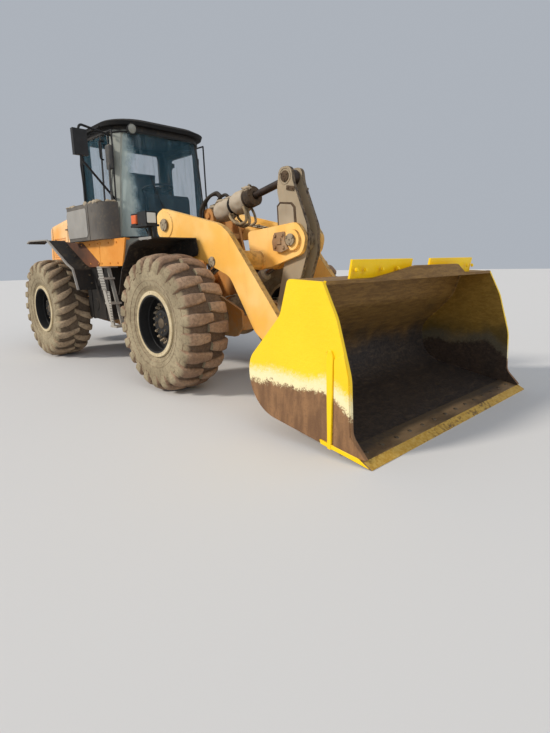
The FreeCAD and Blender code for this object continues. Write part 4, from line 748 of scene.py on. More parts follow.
def add_tyre(name, x, side_y, style):
    """A tyre with its lugs. style is (slant at the crown, slant at the shoulder, width)."""
    slant, shoulder_slant, width = style
    piece = Piece()
    bm = piece.bm
    centre = Vector((x, side_y, AXLE_Z))
    rough = random.Random(name)

    def on_wheel(y, radius, angle):
        return centre + Vector((radius * math.sin(angle), y, radius * math.cos(angle)))

    # The casing has gentle dents, and an inner lining closes it over the rim
    outline = [(-y, r) for y, r in reversed(CASING)] + [(y, r) for y, r in CASING[1:]]
    rings = []
    for i in range(CASING_STEPS):
        angle = 2 * math.pi * i / CASING_STEPS
        ring = []
        for y, radius in outline:
            bulge = 0.003 * noise.noise(Vector((y * 9, math.sin(angle) * 2.5,
                                                math.cos(angle) * 2.5)))
            ring.append(bm.verts.new(on_wheel(y, radius + bulge, angle)))
        rings.append(ring)
    for here, there in zip(rings, rings[1:] + rings[:1]):
        for j in range(len(outline) - 1):
            bm.faces.new((here[j], here[j + 1], there[j + 1], there[j]))
        bm.faces.new((here[-1], here[0], there[0], there[-1]))

    for radius, high, wide in WALL_RINGS:
        wall = next(y0 + (y1 - y0) * (r0 - radius) / (r0 - r1)
                    for (y0, r0), (y1, r1) in zip(CASING[5:], CASING[6:]) if r1 <= radius <= r0)
        foot, top = wall - 0.003, wall + high
        for side in (1, -1):
            piece.lathe([(radius - wide, foot * side), (radius - wide * 0.5, top * side),
                         (radius + wide * 0.5, top * side), (radius + wide, foot * side)],
                        centre, (0, 1, 0), 120)

    pitch = 2 * math.pi / LUGS_EACH_SIDE
    shoulder = lug_station(SHOULDER_Y)
    for side in (1, -1):
        for k in range(LUGS_EACH_SIDE):
            angle0 = pitch * (k + (0.5 if side > 0 else 0.0)) + rough.uniform(-0.006, 0.006)
            worn = rough.uniform(0.90, 1.0)
            head = LUG_HEADS[k % 2]
            rings = []
            for i in range(LUG_STEPS + 1):
                t = i / LUG_STEPS
                if t < CROWN_SHARE:
                    y = head + (SHOULDER_Y - head) * (t / CROWN_SHARE)
                    at, out = casing_at(lug_station(abs(y)))
                    if y < 0:
                        out = Vector((-out.x, out.y))
                        at = Vector((y, at.y))
                else:
                    beyond = (t - CROWN_SHARE) / (1 - CROWN_SHARE)
                    at, out = casing_at(shoulder + (LUG_END - shoulder) * beyond)
                bend = slant * t + (shoulder_slant - slant) * t * t
                # The lug is tall on the crown, and thins out down the side wall
                tall = LUG_DEPTH * worn
                if t > 0.70:
                    tall *= max(0.20, 1.0 - (t - 0.70) * 2.7)
                if t < 0.10:
                    tall *= 0.86 + 1.4 * t
                half = width * (0.80 + 0.32 * math.sin(math.pi * min(1.0, t * 0.9))) / 2
                if t > 0.8:
                    half *= 1.0 - 0.35 * (t - 0.8) / 0.2
                ring = []
                for u, v in LUG_SECTION:
                    radial = at + out * tall * v
                    jig = 1.0 + 0.03 * math.sin(k * 5.1 + i * 1.7 + u)
                    angle = angle0 + bend + u * half * jig / max(radial.y, 0.3)
                    ring.append(bm.verts.new(on_wheel(side * radial.x, min(radial.y, TYRE_TIP),
                                                      angle)))
                rings.append(ring)
            piece.skin(rings)
            bm.faces.new(rings[0])
            bm.faces.new(list(reversed(rings[-1])))
    body = name.replace("tyre", "wheel")
    end = "front" if "front" in name else "rear"
    made = piece.done(name + "_tread", m_tyres[end], body, "tyre_rubber", smooth=48.0)
    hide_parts(name)
    return made


for end, x, style in (("front", FRONT_X, (0.05, 0.02, 0.098)),
                      ("rear", REAR_X, (0.30, 0.20, 0.080))):
    for side, sign in SIDES:
        add_tyre(f"tyre_{end}_{side}", x, sign * TRACK, style)


# Stations: metres ahead of the front axle or of the hitch, and back from the bucket's tip

def F(s):
    return FRONT_X + s


def R(s):
    return HITCH_X + s


TIP_X = CAD_HIGH.x
BUCKET_LEAN = math.radians(10.06)

# The linkage's pins at rest, as (x, z)
ARM_HINGE = (F(-0.600), 1.810)
BUCKET_PIN = (F(1.550), 0.430)
LIFT_EYE = (F(0.270), 1.370)
CRANK_PIN = (F(1.030), 1.570)
ROD_PIN = (F(0.878), 2.210)
LINK_PIN = (F(0.833), 0.806)
BUCKET_LINK_PIN = (2.6065, 0.7039)
CROSS_TUBE = (F(0.500), 1.380)


def pin_at(pin, y):
    return (pin[0], y, pin[1])


def span(sign, inner, outer):
    """Low and high y of a plate on the left side, or on the right where sign is -1."""
    return sorted((sign * inner, sign * outer))


def in_bucket(back, up):
    c, s = math.cos(BUCKET_LEAN), math.sin(BUCKET_LEAN)
    return (TIP_X - back * c + up * s, back * s + up * c)


def circle(centre, axis, radius, count=24, start=0.0):
    """Points round an axis; the last one is the first again."""
    turn = Vector(axis).normalized().to_track_quat("Z", "Y").to_matrix()
    made = []
    for i in range(count + 1):
        a = start + 2 * math.pi * i / count
        made.append(Vector(centre) + turn @ Vector((radius * math.cos(a), radius * math.sin(a), 0)))
    return made


def ring_bolts(piece, centre, axis, radius, count, size=0.014, height=0.012, start=0.0):
    """Bolt heads round a circle about an axis."""
    for at in circle(centre, axis, radius, count, start)[:count]:
        piece.bolt(at, axis, size, height)


def pin_cap(piece, centre, axis, radius):
    """A stepped pin end with its bolted keeper and grease fitting."""
    axis = Vector(axis).normalized()
    piece.lathe([(0.001, 0.014), (radius * 0.55, 0.014), (radius * 0.62, 0.010),
                 (radius * 0.94, 0.010), (radius, 0.005), (radius, -0.004)], centre, axis, 40)
    ring_bolts(piece, Vector(centre) + axis * 0.008, axis, radius * 0.76, 3, 0.011, 0.010, 0.5)
    piece.rod(Vector(centre) + axis * 0.012, Vector(centre) + axis * 0.024, 0.006, 8)


def bead(piece, points, radius=0.007):
    """A weld bead: a slightly lumpy round line."""
    points = [Vector(p) for p in points]
    length = sum((b - a).length for a, b in zip(points, points[1:]))
    count = max(6, int(length / 0.016))
    piece.tube(points, lambda t: radius * (0.86 + 0.2 * math.sin(t * count * 2.1)), 6,
               steps=max(3, count // max(1, len(points) - 1)))


def lump(piece, centre, size, seed, detail=3):
    """A clod of dried mud."""
    made = bmesh.ops.create_icosphere(piece.bm, subdivisions=detail, radius=1.0)["verts"]
    centre = Vector(centre)
    size = Vector(size)
    for vert in made:
        away = vert.co.copy()
        swell = 1.0 + 0.45 * noise.noise(away * 1.6 + Vector((seed, 0, 0))) \
            + 0.16 * noise.noise(away * 5.0 + Vector((0, seed, 0)))
        vert.co = centre + Vector((away.x * size.x, away.y * size.y, away.z * size.z)) * swell


# Wheels: nuts on the dish, lock ring, valve and hub bolts

WHEEL_NUTS = 20
NUT_CIRCLE = 0.222
VALVE_ANGLE = {"front": 0.7, "rear": 2.3}

for end, x in (("front", FRONT_X), ("rear", REAR_X)):
    for side, sign in SIDES:
        wheel = f"wheel_{end}_{side}"
        centre = Vector((x, sign * TRACK, AXLE_Z))
        out = Vector((0, sign, 0))
        nuts = Piece()
        for i in range(WHEEL_NUTS):
            a = 2 * math.pi * (i + 0.5) / WHEEL_NUTS
            at = centre + Vector((NUT_CIRCLE * math.sin(a), sign * 0.055, NUT_CIRCLE * math.cos(a)))
            nuts.rod(at - out * 0.004, at + out * 0.006, 0.024, 16)
            nuts.rod(at + out * 0.005, at + out * 0.026, 0.018, 6)
            nuts.rod(at + out * 0.026, at + out * 0.040, 0.010, 10)
        nuts.done(f"{wheel}_nuts", m_mud_grey, wheel, "bare_steel", bevel=0.0015)
        hub = Piece()
        hub_face = centre + out * 0.130
        hub.lathe([(0.001, 0.008), (0.050, 0.008), (0.056, 0.003), (0.058, -0.002)], hub_face,
                  out, 36)
        ring_bolts(hub, hub_face, out, 0.098, 8, 0.011, 0.010)
        hub.lathe([(0.176, -0.002), (0.176, 0.007), (0.196, 0.007), (0.199, -0.002)],
                  centre + out * 0.055, out, 60)
        hub.done(f"{wheel}_hub_cover", m_bolt, wheel, "bare_steel")
        lock = Piece()
        lock.lathe([(0.292, 0.196), (0.303, 0.2035), (0.316, 0.2055), (0.330, 0.2025),
                    (0.337, 0.196)], centre + out * 0.024, out, 90)
        lock.lathe([(0.2925, 0.120), (0.286, 0.112), (0.286, 0.100), (0.2925, 0.092)],
                   centre, out, 90)
        a = VALVE_ANGLE[end]
        foot = centre + Vector((0.281 * math.sin(a), sign * 0.105, 0.281 * math.cos(a)))
        lock.tube([foot, foot + out * 0.03, foot + out * 0.06
                   + Vector((-0.03 * math.sin(a), 0, -0.03 * math.cos(a)))], 0.006, 8)
        lock.done(f"{wheel}_lock_ring", m_rims[end], wheel, "rim_tan")


# Bucket: side cutters and bars, welds, wear strips and edge bolts

BUCKET_SIDE_Y = 1.352
SIDE_BAR = [(3.538, 0.060), (3.570, 0.055), (3.586, 0.720), (3.570, 0.760), (3.545, 0.760),
            (3.528, 0.700)]
SIDE_CUTTER = [(3.589, 0.070), (3.700, 0.060), in_bucket(0.060, 0.045), in_bucket(0.212, 0.155),
               in_bucket(0.297, 0.540), in_bucket(0.365, 0.690), (3.589, 0.700)]
SIDE_SHOE = [in_bucket(0.020, 0.004), in_bucket(0.440, 0.002), in_bucket(0.455, 0.030),
             in_bucket(0.120, 0.038)]
BUCKET_CORNER = [in_bucket(0.62, 0.026), in_bucket(0.95, 0.026), in_bucket(1.13, 0.085),
                 in_bucket(1.215, 0.22), in_bucket(1.238, 0.40), in_bucket(1.10, 0.60),
                 in_bucket(0.975, 0.79), in_bucket(0.94, 0.95), in_bucket(0.92, 1.06)]

for side, sign in SIDES:
    y0, y1 = span(sign, BUCKET_SIDE_Y, 1.377)
    bar = Piece()
    bar.prism(SIDE_BAR, y0, y1)
    bar.done(f"bucket_side_bar_{side}", m_guard_yellow, "bucket", "loader_yellow", bevel=0.004)
    cutter = Piece()
    y0, y1 = span(sign, BUCKET_SIDE_Y, 1.369)
    cutter.prism(SIDE_CUTTER, y0, y1)
    cutter.done(f"bucket_side_cutter_{side}", m_bucket, "bucket", "loader_yellow", bevel=0.003)
    shoe = Piece()
    y0, y1 = span(sign, 1.350, 1.374)
    shoe.prism(SIDE_SHOE, y0, y1)
    shoe.done(f"bucket_side_shoe_{side}", m_guard_yellow, "bucket", "loader_yellow", bevel=0.003)
    seam = Piece()
    bead(seam, [(3.532, sign * 1.361, 0.06), (3.528, sign * 1.361, 0.40),
                (3.526, sign * 1.361, 0.75)])
    bead(seam, [(x, sign * 1.327, z) for x, z in BUCKET_CORNER], 0.009)
    seam.done(f"bucket_welds_{side}", m_bucket, "bucket", "loader_yellow")

strips = Piece()
for y in (-0.95, -0.32, 0.32, 0.95):
    strips.strip([pin_at(in_bucket(back, -0.001), y) for back in (0.30, 0.62, 0.92)], 0.09, 0.012,
                 (0.17, 0, -0.98))
strips.done("bucket_floor_wear_strips", m_edge, "bucket", "bare_steel", bevel=0.002)

edge_bolts = Piece()
for i in range(14):
    edge_bolts.lathe([(0.001, 0.004), (0.014, 0.004), (0.018, 0.0), (0.018, -0.006)],
                 pin_at(in_bucket(0.145, 0.0335), -1.235 + i * 0.19), (0.175, 0, 0.985), 18)
edge_bolts.done("cutting_edge_bolts", m_bolt, "bucket", "bare_steel")

back = Piece()
for y in (-0.86, 0.86, -0.28, 0.28):
    back.strip([pin_at(in_bucket(b, up), y) for b, up in (
        (1.268, 0.36), (1.245, 0.46), (1.12, 0.64), (1.01, 0.80), (0.975, 0.94))],
        0.060, 0.012, (-0.95, 0, 0.30))
back.done("bucket_back_ribs", m_bucket, "bucket", "loader_yellow", bevel=0.003)

guards = Piece()
for side in (1, -1):
    for y in (0.19, 0.40, 0.62, 0.84, 0.95):
        guards.bolt(pin_at(in_bucket(0.664, 1.180), side * y), (0.985, 0, 0.17), 0.013, 0.011)
guards.done("spill_guard_bolts", m_guard_yellow, "bucket", "loader_yellow")


# Arms: pin ends, welds and the grease lines along them

arms = Piece()
for sign in (1, -1):
    for pin, y, radius in ((ARM_HINGE, 0.645, 0.072), (BUCKET_PIN, 0.628, 0.066),
                           (LIFT_EYE, 0.620, 0.056), (CRANK_PIN, 0.196, 0.062)):
        pin_cap(arms, pin_at(pin, sign * y), (0, sign, 0), radius)
arms.done("arm_pin_ends", m_crank, "arms", "bare_steel", bevel=0.0012)
welds = Piece()
for sign in (1, -1):
    for pin, y, radius, thick in (
            (CROSS_TUBE, 0.551, 0.104, 0.009), (CROSS_TUBE, 0.106, 0.104, 0.008),
            (CROSS_TUBE, 0.151, 0.104, 0.008), (ARM_HINGE, 0.6205, 0.153, 0.006),
            (BUCKET_PIN, 0.6205, 0.125, 0.006)):
        bead(welds, circle(pin_at(pin, sign * y), (0, sign, 0), radius), thick)
welds.done("arm_welds", m_orange, "arms", "loader_yellow")
lines = Piece()
for sign, height in ((1, 0.0), (1, 0.022), (-1, 0.0)):
    lines.tube([(F(x), sign * y, z + height) for x, y, z in (
        (-0.40, 0.545, 1.83), (-0.05, 0.546, 1.76), (0.25, 0.546, 1.66), (0.42, 0.546, 1.56),
        (0.47, 0.540, 1.50))], 0.008, 10)
for sign in (1, -1):
    for x, z in ((-0.25, 1.815), (0.10, 1.725)):
        lines.box((F(x) - 0.02, sign * 0.548 - 0.010, z - 0.018),
                  (F(x) + 0.02, sign * 0.548 + 0.010, z + 0.022))
        lines.bolt((F(x), sign * 0.537, z + 0.002), (0, -sign, 0), 0.008, 0.008)
lines.done("arm_grease_lines", m_zinc, "arms", "bare_steel")


# Crank and bucket link

crank = Piece()
for sign in (1, -1):
    pin_cap(crank, pin_at(ROD_PIN, sign * 0.101), (0, sign, 0), 0.056)
    pin_cap(crank, pin_at(LINK_PIN, sign * 0.104), (0, sign, 0), 0.050)
    y0, y1 = span(sign, 0.099, 0.112)
    for x, z, turn in ((F(0.96), 2.085, 0.2), (F(0.93), 1.02, -0.2)):
        crank.box((x - 0.055, y0, z - 0.022), (x + 0.055, y1, z + 0.022),
                  Matrix.Rotation(turn, 3, "Y"))
        for step in (-0.03, 0.03):
            crank.bolt((x + step, sign * 0.111, z - step * turn), (0, sign, 0), 0.010, 0.009)
for sign in (1, -1):
    crank.prism([(1.812, 1.690), (1.802, 1.930), (1.850, 1.965), (2.020, 1.945), (2.066, 1.900),
                 (2.086, 1.680), (1.950, 1.640)], *span(sign, 0.0995, 0.1065))
crank.done("crank_pins_and_keepers", m_grime_plate, "crank", "bare_steel", bevel=0.0015)
rub = Piece()
for sign in (1, -1):
    rub.prism([(1.836, 1.700), (1.826, 1.918), (1.860, 1.944), (2.006, 1.925), (2.042, 1.890),
               (2.060, 1.690), (1.950, 1.662)], *span(sign, 0.0995, 0.1125))
rub.done("crank_wear_plates", m_mud_grey, "crank", "bare_steel", bevel=0.003)
keepers = Piece()
for sign in (1, -1):
    keepers.prism([(1.812, 1.560), (1.850, 1.650), (1.990, 1.655), (2.000, 1.560), (2.050, 1.480),
                   (1.940, 1.448), (1.830, 1.470)], *span(sign, 0.1805, 0.2000))
    for x, z in ((1.860, 1.615), (1.965, 1.620), (1.860, 1.505), (1.985, 1.495)):
        keepers.bolt((x, sign * 0.1995, z), (0, sign, 0), 0.016, 0.014)
    keepers.prism([(1.885, 1.530), (1.885, 1.590), (1.950, 1.590), (1.950, 1.530)],
                  *span(sign, 0.199, 0.212))
keepers.done("crank_pin_keepers", m_keeper, "arms", "bare_steel", bevel=0.002)
crank_weld = Piece()
for sign in (1, -1):
    bead(crank_weld, circle(pin_at(CRANK_PIN, sign * 0.1005), (0, sign, 0), 0.120), 0.008)
    bead(crank_weld, circle(pin_at(ROD_PIN, sign * 0.1005), (0, sign, 0), 0.078), 0.006)
crank_weld.done("crank_welds", m_crank, "crank", "loader_yellow")
link = Piece()
for sign in (1, -1):
    for pin in (BUCKET_LINK_PIN, LINK_PIN):
        bead(link, circle(pin_at(pin, sign * 0.0525), (0, sign, 0), 0.070), 0.005)
link.done("bucket_link_welds", m_crank, "link", "loader_yellow")


# Lift and tilt cylinders: glands, ports, hard lines, hoses and dried mud

LIFT_BASE = Vector((F(-0.950), 0.0, 0.720))
LIFT_WAY = Vector((0.882553, 0.0, 0.470213))
LIFT_Y = 0.455


def along_cylinder(base, way, distance, lift, y):
    up = Vector((-way.z, 0.0, way.x))
    return base + way * distance + up * lift + Vector((0, y, 0))


def on_tilt(distance, lift, y):
    return along_cylinder(TILT_BASE, TILT_WAY, distance, lift, y)


def dress_cylinder(name, base, way, y, radius, length, body, finish, lined=True):
    """The gland's ring and bolts, two ports and, if lined, the hard line that joins them."""
    piece = Piece()
    head = along_cylinder(base, way, length, 0, y)
    piece.lathe([(radius * 0.47, 0.012), (radius * 0.70, 0.012), (radius * 0.86, 0.004),
                 (radius + 0.012, 0.0), (radius + 0.012, -0.02)], head, way, 48)
    ring_bolts(piece, head + way * 0.003, way, radius * 0.93, 8, 0.009, 0.010)
    piece.lathe([(radius + 0.001, -0.012), (radius + 0.006, -0.008), (radius + 0.006, 0.008),
                 (radius + 0.001, 0.012)], along_cylinder(base, way, length - 0.12, 0, y), way, 48)
    for distance in (0.20, length - 0.06):
        foot = along_cylinder(base, way, distance, radius - 0.004, y)
        top = along_cylinder(base, way, distance, radius + 0.036, y)
        piece.rod(foot, top, 0.020, 16)
        piece.rod(foot + (top - foot) * 0.62, top + (top - foot) * 0.10, 0.024, 6)
    piece.done(f"{name}_gland_and_ports", finish, body, "barrel_paint", bevel=0.0015)
    if not lined:
        return
    line = Piece()
    points = [along_cylinder(base, way, d, radius + h, y + s) for d, h, s in (
        (length - 0.06, 0.036, 0.0), (length - 0.075, 0.052, 0.006), (length - 0.14, 0.034, 0.028),
        (length - 0.30, 0.020, 0.034), (0.42, 0.020, 0.034), (0.28, 0.030, 0.030),
        (0.24, 0.050, 0.016))]
    line.tube(points, 0.0085, 10)
    for d in (length - 0.36, 0.46):
        at = along_cylinder(base, way, d, radius + 0.012, y + 0.034)
        line.box(at - Vector((0.016, 0.018, 0.014)), at + Vector((0.016, 0.018, 0.020)))
    line.done(f"{name}_hard_line", m_zinc, body, "bare_steel", bevel=0.001)


dress_cylinder("tilt_cylinder", TILT_BASE, TILT_WAY, 0.0, 0.098, 0.780, "tilt_barrel",
               m_grime_plate)
for side, sign in SIDES:
    dress_cylinder(f"lift_cylinder_{side}", LIFT_BASE, LIFT_WAY, sign * LIFT_Y, 0.068, 1.040,
                   "lift_barrels", m_mud_grey, lined=False)
    eyes = Piece()
    for face in (1, -1):
        bead(eyes, circle(pin_at(LIFT_EYE, sign * LIFT_Y + face * 0.0405), (0, face, 0), 0.062),
             0.005)
    eyes.done(f"lift_rod_eye_{side}", m_mud_grey, "lift_rods", "rod_chrome")

mud = Piece()
for i, (d, h, y, size) in enumerate((
    (0.06, 0.085, -0.03, (0.085, 0.055, 0.035)), (0.15, 0.095, 0.02, (0.10, 0.07, 0.032)),
    (0.26, 0.098, -0.045, (0.11, 0.055, 0.026)), (0.40, 0.100, 0.00, (0.12, 0.06, 0.018)),
    (0.70, 0.108, -0.02, (0.07, 0.06, 0.022)), (0.74, 0.085, -0.07, (0.06, 0.03, 0.030)),
)):
    lump(mud, on_tilt(d, h, y), size, i * 3.7 + 1.0)
mud.done("tilt_cylinder_mud", m_mud_grey, "tilt_barrel", "barrel_paint", smooth=60)


JACKET_STEPS = 40
JACKET_RINGS = 14


def mud_jacket(piece, start, end, swell, seed):
    """A crust of mud round the barrel, thickest in its middle and lumpy all over."""
    across = TILT_WAY.to_track_quat("Z", "Y").to_matrix()
    grid = []
    for i in range(JACKET_RINGS + 1):
        t = i / JACKET_RINGS
        along = TILT_BASE + TILT_WAY * (start + (end - start) * t)
        ring = []
        for k in range(JACKET_STEPS):
            a = 2 * math.pi * k / JACKET_STEPS
            out = across @ Vector((math.cos(a), math.sin(a), 0.0))
            lumps = noise.noise(out * 2.2 + Vector((t * 3.0, seed, 0.0))) * 0.6 \
                + noise.noise(out * 6.0 + Vector((t * 9.0, 0.0, seed))) * 0.35
            radius = 0.0975 + swell * math.sin(math.pi * t) ** 0.45 * (0.75 + 0.5 * lumps)
            ring.append(piece.bm.verts.new(along + out * radius))
        grid.append(ring)
    piece.skin(grid)


jackets = Piece()
mud_jacket(jackets, 0.125, 0.385, 0.042, 3.0)
mud_jacket(jackets, 0.430, 0.660, 0.040, 8.0)
jackets.done("tilt_barrel_mud_crust", m_tilt_barrel, "tilt_barrel", "barrel_paint", smooth=70)
# Two dark bands: the one between the mud crusts is painted shadow, the other sits by the gland
gap = Piece()
gap.lathe([(0.0975, -0.022), (0.1000, -0.020), (0.1000, 0.020), (0.0975, 0.022)],
          TILT_BASE + TILT_WAY * 0.408, TILT_WAY, 48)
gap.lathe([(0.0985, -0.060), (0.1015, -0.058), (0.1015, 0.052), (0.0985, 0.054)],
          TILT_BASE + TILT_WAY * 0.716, TILT_WAY, 48)
gap.done("tilt_barrel_shadow_and_gland_bands", m_oily_dark_and_shade, "tilt_barrel", "barrel_paint")
sleeve = Piece()
ROD_EYE = TILT_BASE + TILT_WAY * 1.36698
sleeve.lathe([(0.0402, -0.150), (0.0455, -0.142), (0.0475, -0.110), (0.0500, -0.080),
              (0.0480, -0.055)], ROD_EYE, TILT_WAY, 32)
sleeve.done("tilt_rod_muddy_end", m_mud_grey, "tilt_rod", "rod_chrome")
loops = Piece()
for y, low_z, radius in ((-0.035, 1.765, 0.017), (-0.075, 1.790, 0.017), (0.045, 1.780, 0.015)):
    loops.tube([on_tilt(0.640, -0.085, y),
                (1.275, y * 1.1, low_z + 0.115), (1.285, y * 1.2, low_z + 0.030),
                (1.190, y * 1.25, low_z), (1.070, y * 1.2, low_z + 0.035),
                (0.990, y * 1.05, low_z + 0.100),
                on_tilt(0.400, -0.088, y)], radius, 12, steps=8)
loops.done("tilt_cylinder_lower_hoses", m_hose_dusty, "tilt_barrel", "dark_plastic")
hoses = Piece()
for y, reach, drop in ((-0.055, 0.0, 0.0), (-0.090, 0.05, 0.03), (0.060, 0.02, 0.01)):
    hoses.tube([on_tilt(0.24 + reach, 0.150, y), on_tilt(0.18 + reach, 0.205, y * 1.1),
                on_tilt(0.07, 0.215 - drop, y * 1.3), on_tilt(-0.05, 0.140 - drop, y * 1.5),
                on_tilt(-0.10, 0.020, y * 1.5), on_tilt(-0.10, -0.090, y * 1.4)],
               0.019, 14, steps=8)
    hoses.rod(on_tilt(0.21 + reach, 0.185, y * 1.05), on_tilt(0.25 + reach, 0.140, y), 0.024, 6)
hoses.done("tilt_cylinder_hoses", m_hose, "tilt_barrel", "dark_plastic")


# Steering cylinders, articulation joint, shafts, axles and the hoses over the hitch

STEER_Y = 0.360
STEER_GLAND = (-0.660, 0.780)
STEER_PORTS_X = (-1.12, -0.75)

for side, sign in SIDES:
    y = sign * STEER_Y
    bar = Piece()
    head = Vector(pin_at(STEER_GLAND, y))
    bar.lathe([(0.026, 0.018), (0.040, 0.018), (0.050, 0.008), (0.0545, 0.0), (0.0545, -0.03),
               (0.052, -0.034)], head, (1, 0, 0), 36)
    ring_bolts(bar, head + Vector((0.010, 0, 0)), (1, 0, 0), 0.044, 6, 0.007, 0.008)
    for x in STEER_PORTS_X:
        bar.rod((x, y, 0.825), (x, y, 0.856), 0.016, 14)
        bar.rod((x, y, 0.842), (x, y, 0.866), 0.020, 6)
    bar.done(f"steering_cylinder_gland_{side}", m_mud_grey, f"steering_barrel_{side}",
             "barrel_paint", bevel=0.001)
    hose = Piece()
    for x, reach in zip(STEER_PORTS_X, (0.0, 0.03)):
        hose.tube([(x, y, 0.864), (x, y - sign * 0.004, 0.905), (x - 0.06, y - sign * 0.02, 0.950),
                   (x - 0.16, y - sign * 0.05, 0.965 + reach),
                   (min(x - 0.26, -1.10), y - sign * 0.06, 0.930 + reach)], 0.012, 12, steps=8)
    hose.done(f"steering_cylinder_hoses_{side}", m_hose, f"steering_barrel_{side}",
              "dark_plastic")

HINGE_EYES_Z = (0.545, 1.015)
joint = Piece()
for z in HINGE_EYES_Z:
    for way in (1, -1):
        joint.lathe([(0.001, 0.020), (0.060, 0.020), (0.066, 0.014), (0.098, 0.014),
                     (0.102, 0.009), (0.102, -0.001)],
                    (HITCH_X, 0, z + way * 0.060), (0, 0, way), 44)
        ring_bolts(joint, (HITCH_X, 0, z + way * 0.073), (0, 0, way), 0.082, 6, 0.010, 0.010)
joint.done("hinge_pin_covers", m_crank, "rear_half", "bare_steel", bevel=0.0015)

SHAFT_INNER_Z = 0.780
SHAFT_OUTER_Z = 0.745
for body, x0, x1 in (("front_half", HITCH_X + 0.10, FRONT_X - 0.30),
                     ("rear_half", HITCH_X - 0.10, REAR_X + 0.30)):
    shafts = Piece()
    start, end = Vector((x0, 0, SHAFT_INNER_Z)), Vector((x1, 0, SHAFT_OUTER_Z))
    way = Vector((x1 - x0, 0, SHAFT_OUTER_Z - SHAFT_INNER_Z)).normalized()
    for at, facing_way in ((start + way * 0.06, -way), (end - way * 0.05, way)):
        shafts.lathe([(0.046, -0.05), (0.052, -0.045), (0.056, -0.010), (0.078, -0.006),
                      (0.078, 0.008), (0.001, 0.008)], at, facing_way, 32)
        ring_bolts(shafts, at + facing_way * 0.006, facing_way, 0.064, 8, 0.008, 0.012)
    shafts.lathe([(0.0455, -0.11), (0.054, -0.10), (0.054, 0.07), (0.058, 0.075),
                  (0.058, 0.11), (0.0455, 0.115)], start.lerp(end, 0.5), way, 32)
    shafts.done(f"driveshaft_flanges_{body}", m_axle, body, "bare_steel", bevel=0.001)

for end, x, body in (("front", FRONT_X, "front_half"), ("rear", REAR_X, "rear_half")):
    facing_x = -1 if end == "front" else 1
    cover = Piece()
    at = Vector((x, 0, AXLE_Z))
    for way, reach in ((-facing_x, 0.205), (facing_x, 0.235)):
        cover.lathe([(0.120, -0.018), (0.150, -0.014), (0.154, 0.0), (0.150, 0.010),
                     (0.110, 0.020), (0.001, 0.028)],
                    at + Vector((way * reach, 0, 0)), (way, 0, 0), 48)
        ring_bolts(cover, at + Vector((way * (reach + 0.006), 0, 0)), (way, 0, 0), 0.136, 12,
                   0.011, 0.012)
    for sign in (1, -1):
        for y in (0.300, 0.715):
            ring_bolts(cover, at + Vector((0, sign * y, 0)), (0, -sign if y > 0.5 else sign, 0),
                       0.158 if y > 0.5 else 0.135, 14, 0.012, 0.014)
    cover.done(f"{end}_axle_bolts_and_covers", m_axle, body, "bare_steel", bevel=0.001)
    brake = Piece()
    for sign in (1, -1):
        brake.tube([at + Vector((x * facing_x, sign * y, z)) for x, y, z in (
            (0.02, 0.08, 0.235), (0.03, 0.20, 0.225), (0.05, 0.36, 0.160), (0.05, 0.60, 0.158),
            (0.06, 0.700, 0.150))], 0.0065, 8)
        brake.rod(at + Vector((0.06 * facing_x, sign * 0.690, 0.128)),
                  at + Vector((0.06 * facing_x, sign * 0.690, 0.166)), 0.012, 10)
    brake.rod(at + Vector((0.02 * facing_x, -0.10, 0.236)),
              at + Vector((0.02 * facing_x, 0.10, 0.236)), 0.016, 6)
    brake.done(f"{end}_brake_lines", m_zinc, body, "bare_steel")

REAR_WALL_X = -1.3615
FRONT_WALL_X = -0.1315
HITCH_HOSES = ((0.140, 1.130, 0.016), (0.178, 1.120, 0.016), (0.212, 1.108, 0.013),
               (-0.190, 1.125, 0.016), (-0.230, 1.105, 0.013))

for body, way, x_wall in (("rear_half", 1, REAR_WALL_X), ("front_half", -1, FRONT_WALL_X)):
    bundle = Piece()
    x_end = HITCH_X - way * 0.01
    for y, z, r in HITCH_HOSES:
        bundle.tube([(x_wall - way * 0.02, y * 1.05, z - 0.20),
                     (x_wall + way * 0.10, y * 1.03, z - 0.14),
                     (x_wall + way * 0.22, y * 1.02, z - 0.05),
                     (x_wall + way * 0.36, y, z - 0.005), (x_end, y, z)], r, 12, steps=8)
        bundle.rod((x_wall + way * 0.005, y * 1.05, z - 0.19),
                   (x_wall + way * 0.05, y * 1.045, z - 0.168), r + 0.006, 6)
    bundle.done(f"articulation_hoses_{body}", m_hose, body, "dark_plastic")


# Cab: window rubbers, handrail, wiper, roof lamp and door fittings

CAB_HALF_LOW = 0.740
CAB_HALF_HIGH = 0.705
CAB_LOW = 1.400
CAB_HIGH = 3.100
CAB_CORNER = 0.400
CAB_NOSE_LOW = R(0.330)
CAB_NOSE_HIGH = R(0.155)


def cab_half(z):
    return CAB_HALF_LOW + (CAB_HALF_HIGH - CAB_HALF_LOW) * (z - CAB_LOW) / (CAB_HIGH - CAB_LOW)


def cab_nose(z):
    return CAB_NOSE_LOW + (CAB_NOSE_HIGH - CAB_NOSE_LOW) * (z - CAB_LOW) / (CAB_HIGH - CAB_LOW)


def cab_front_line(z, off):
    """The cab's outline at a height, from the left side round the nose to the right side."""
    half, nose = cab_half(z), cab_nose(z)
    corner, count = CAB_CORNER, 10
    line = [Vector((R(0.05), half + off, z))]
    for i in range(count + 1):
        a = math.pi / 2 * (1 - i / count)
        line.append(Vector((nose - corner + (corner + off) * math.cos(a),
                            half - corner + (corner + off) * math.sin(a), z)))
    right = [Vector((p.x, -p.y, p.z)) for p in reversed(line)]
    return line + right


GLASS_LOW = 1.715
GLASS_HIGH = 3.030
REAR_GLASS_LOW = 1.865
SEAL_RADIUS = 0.011
SEAL_OFF = 0.003


def rubber(piece, points):
    piece.tube(points, SEAL_RADIUS, 8, steps=2)


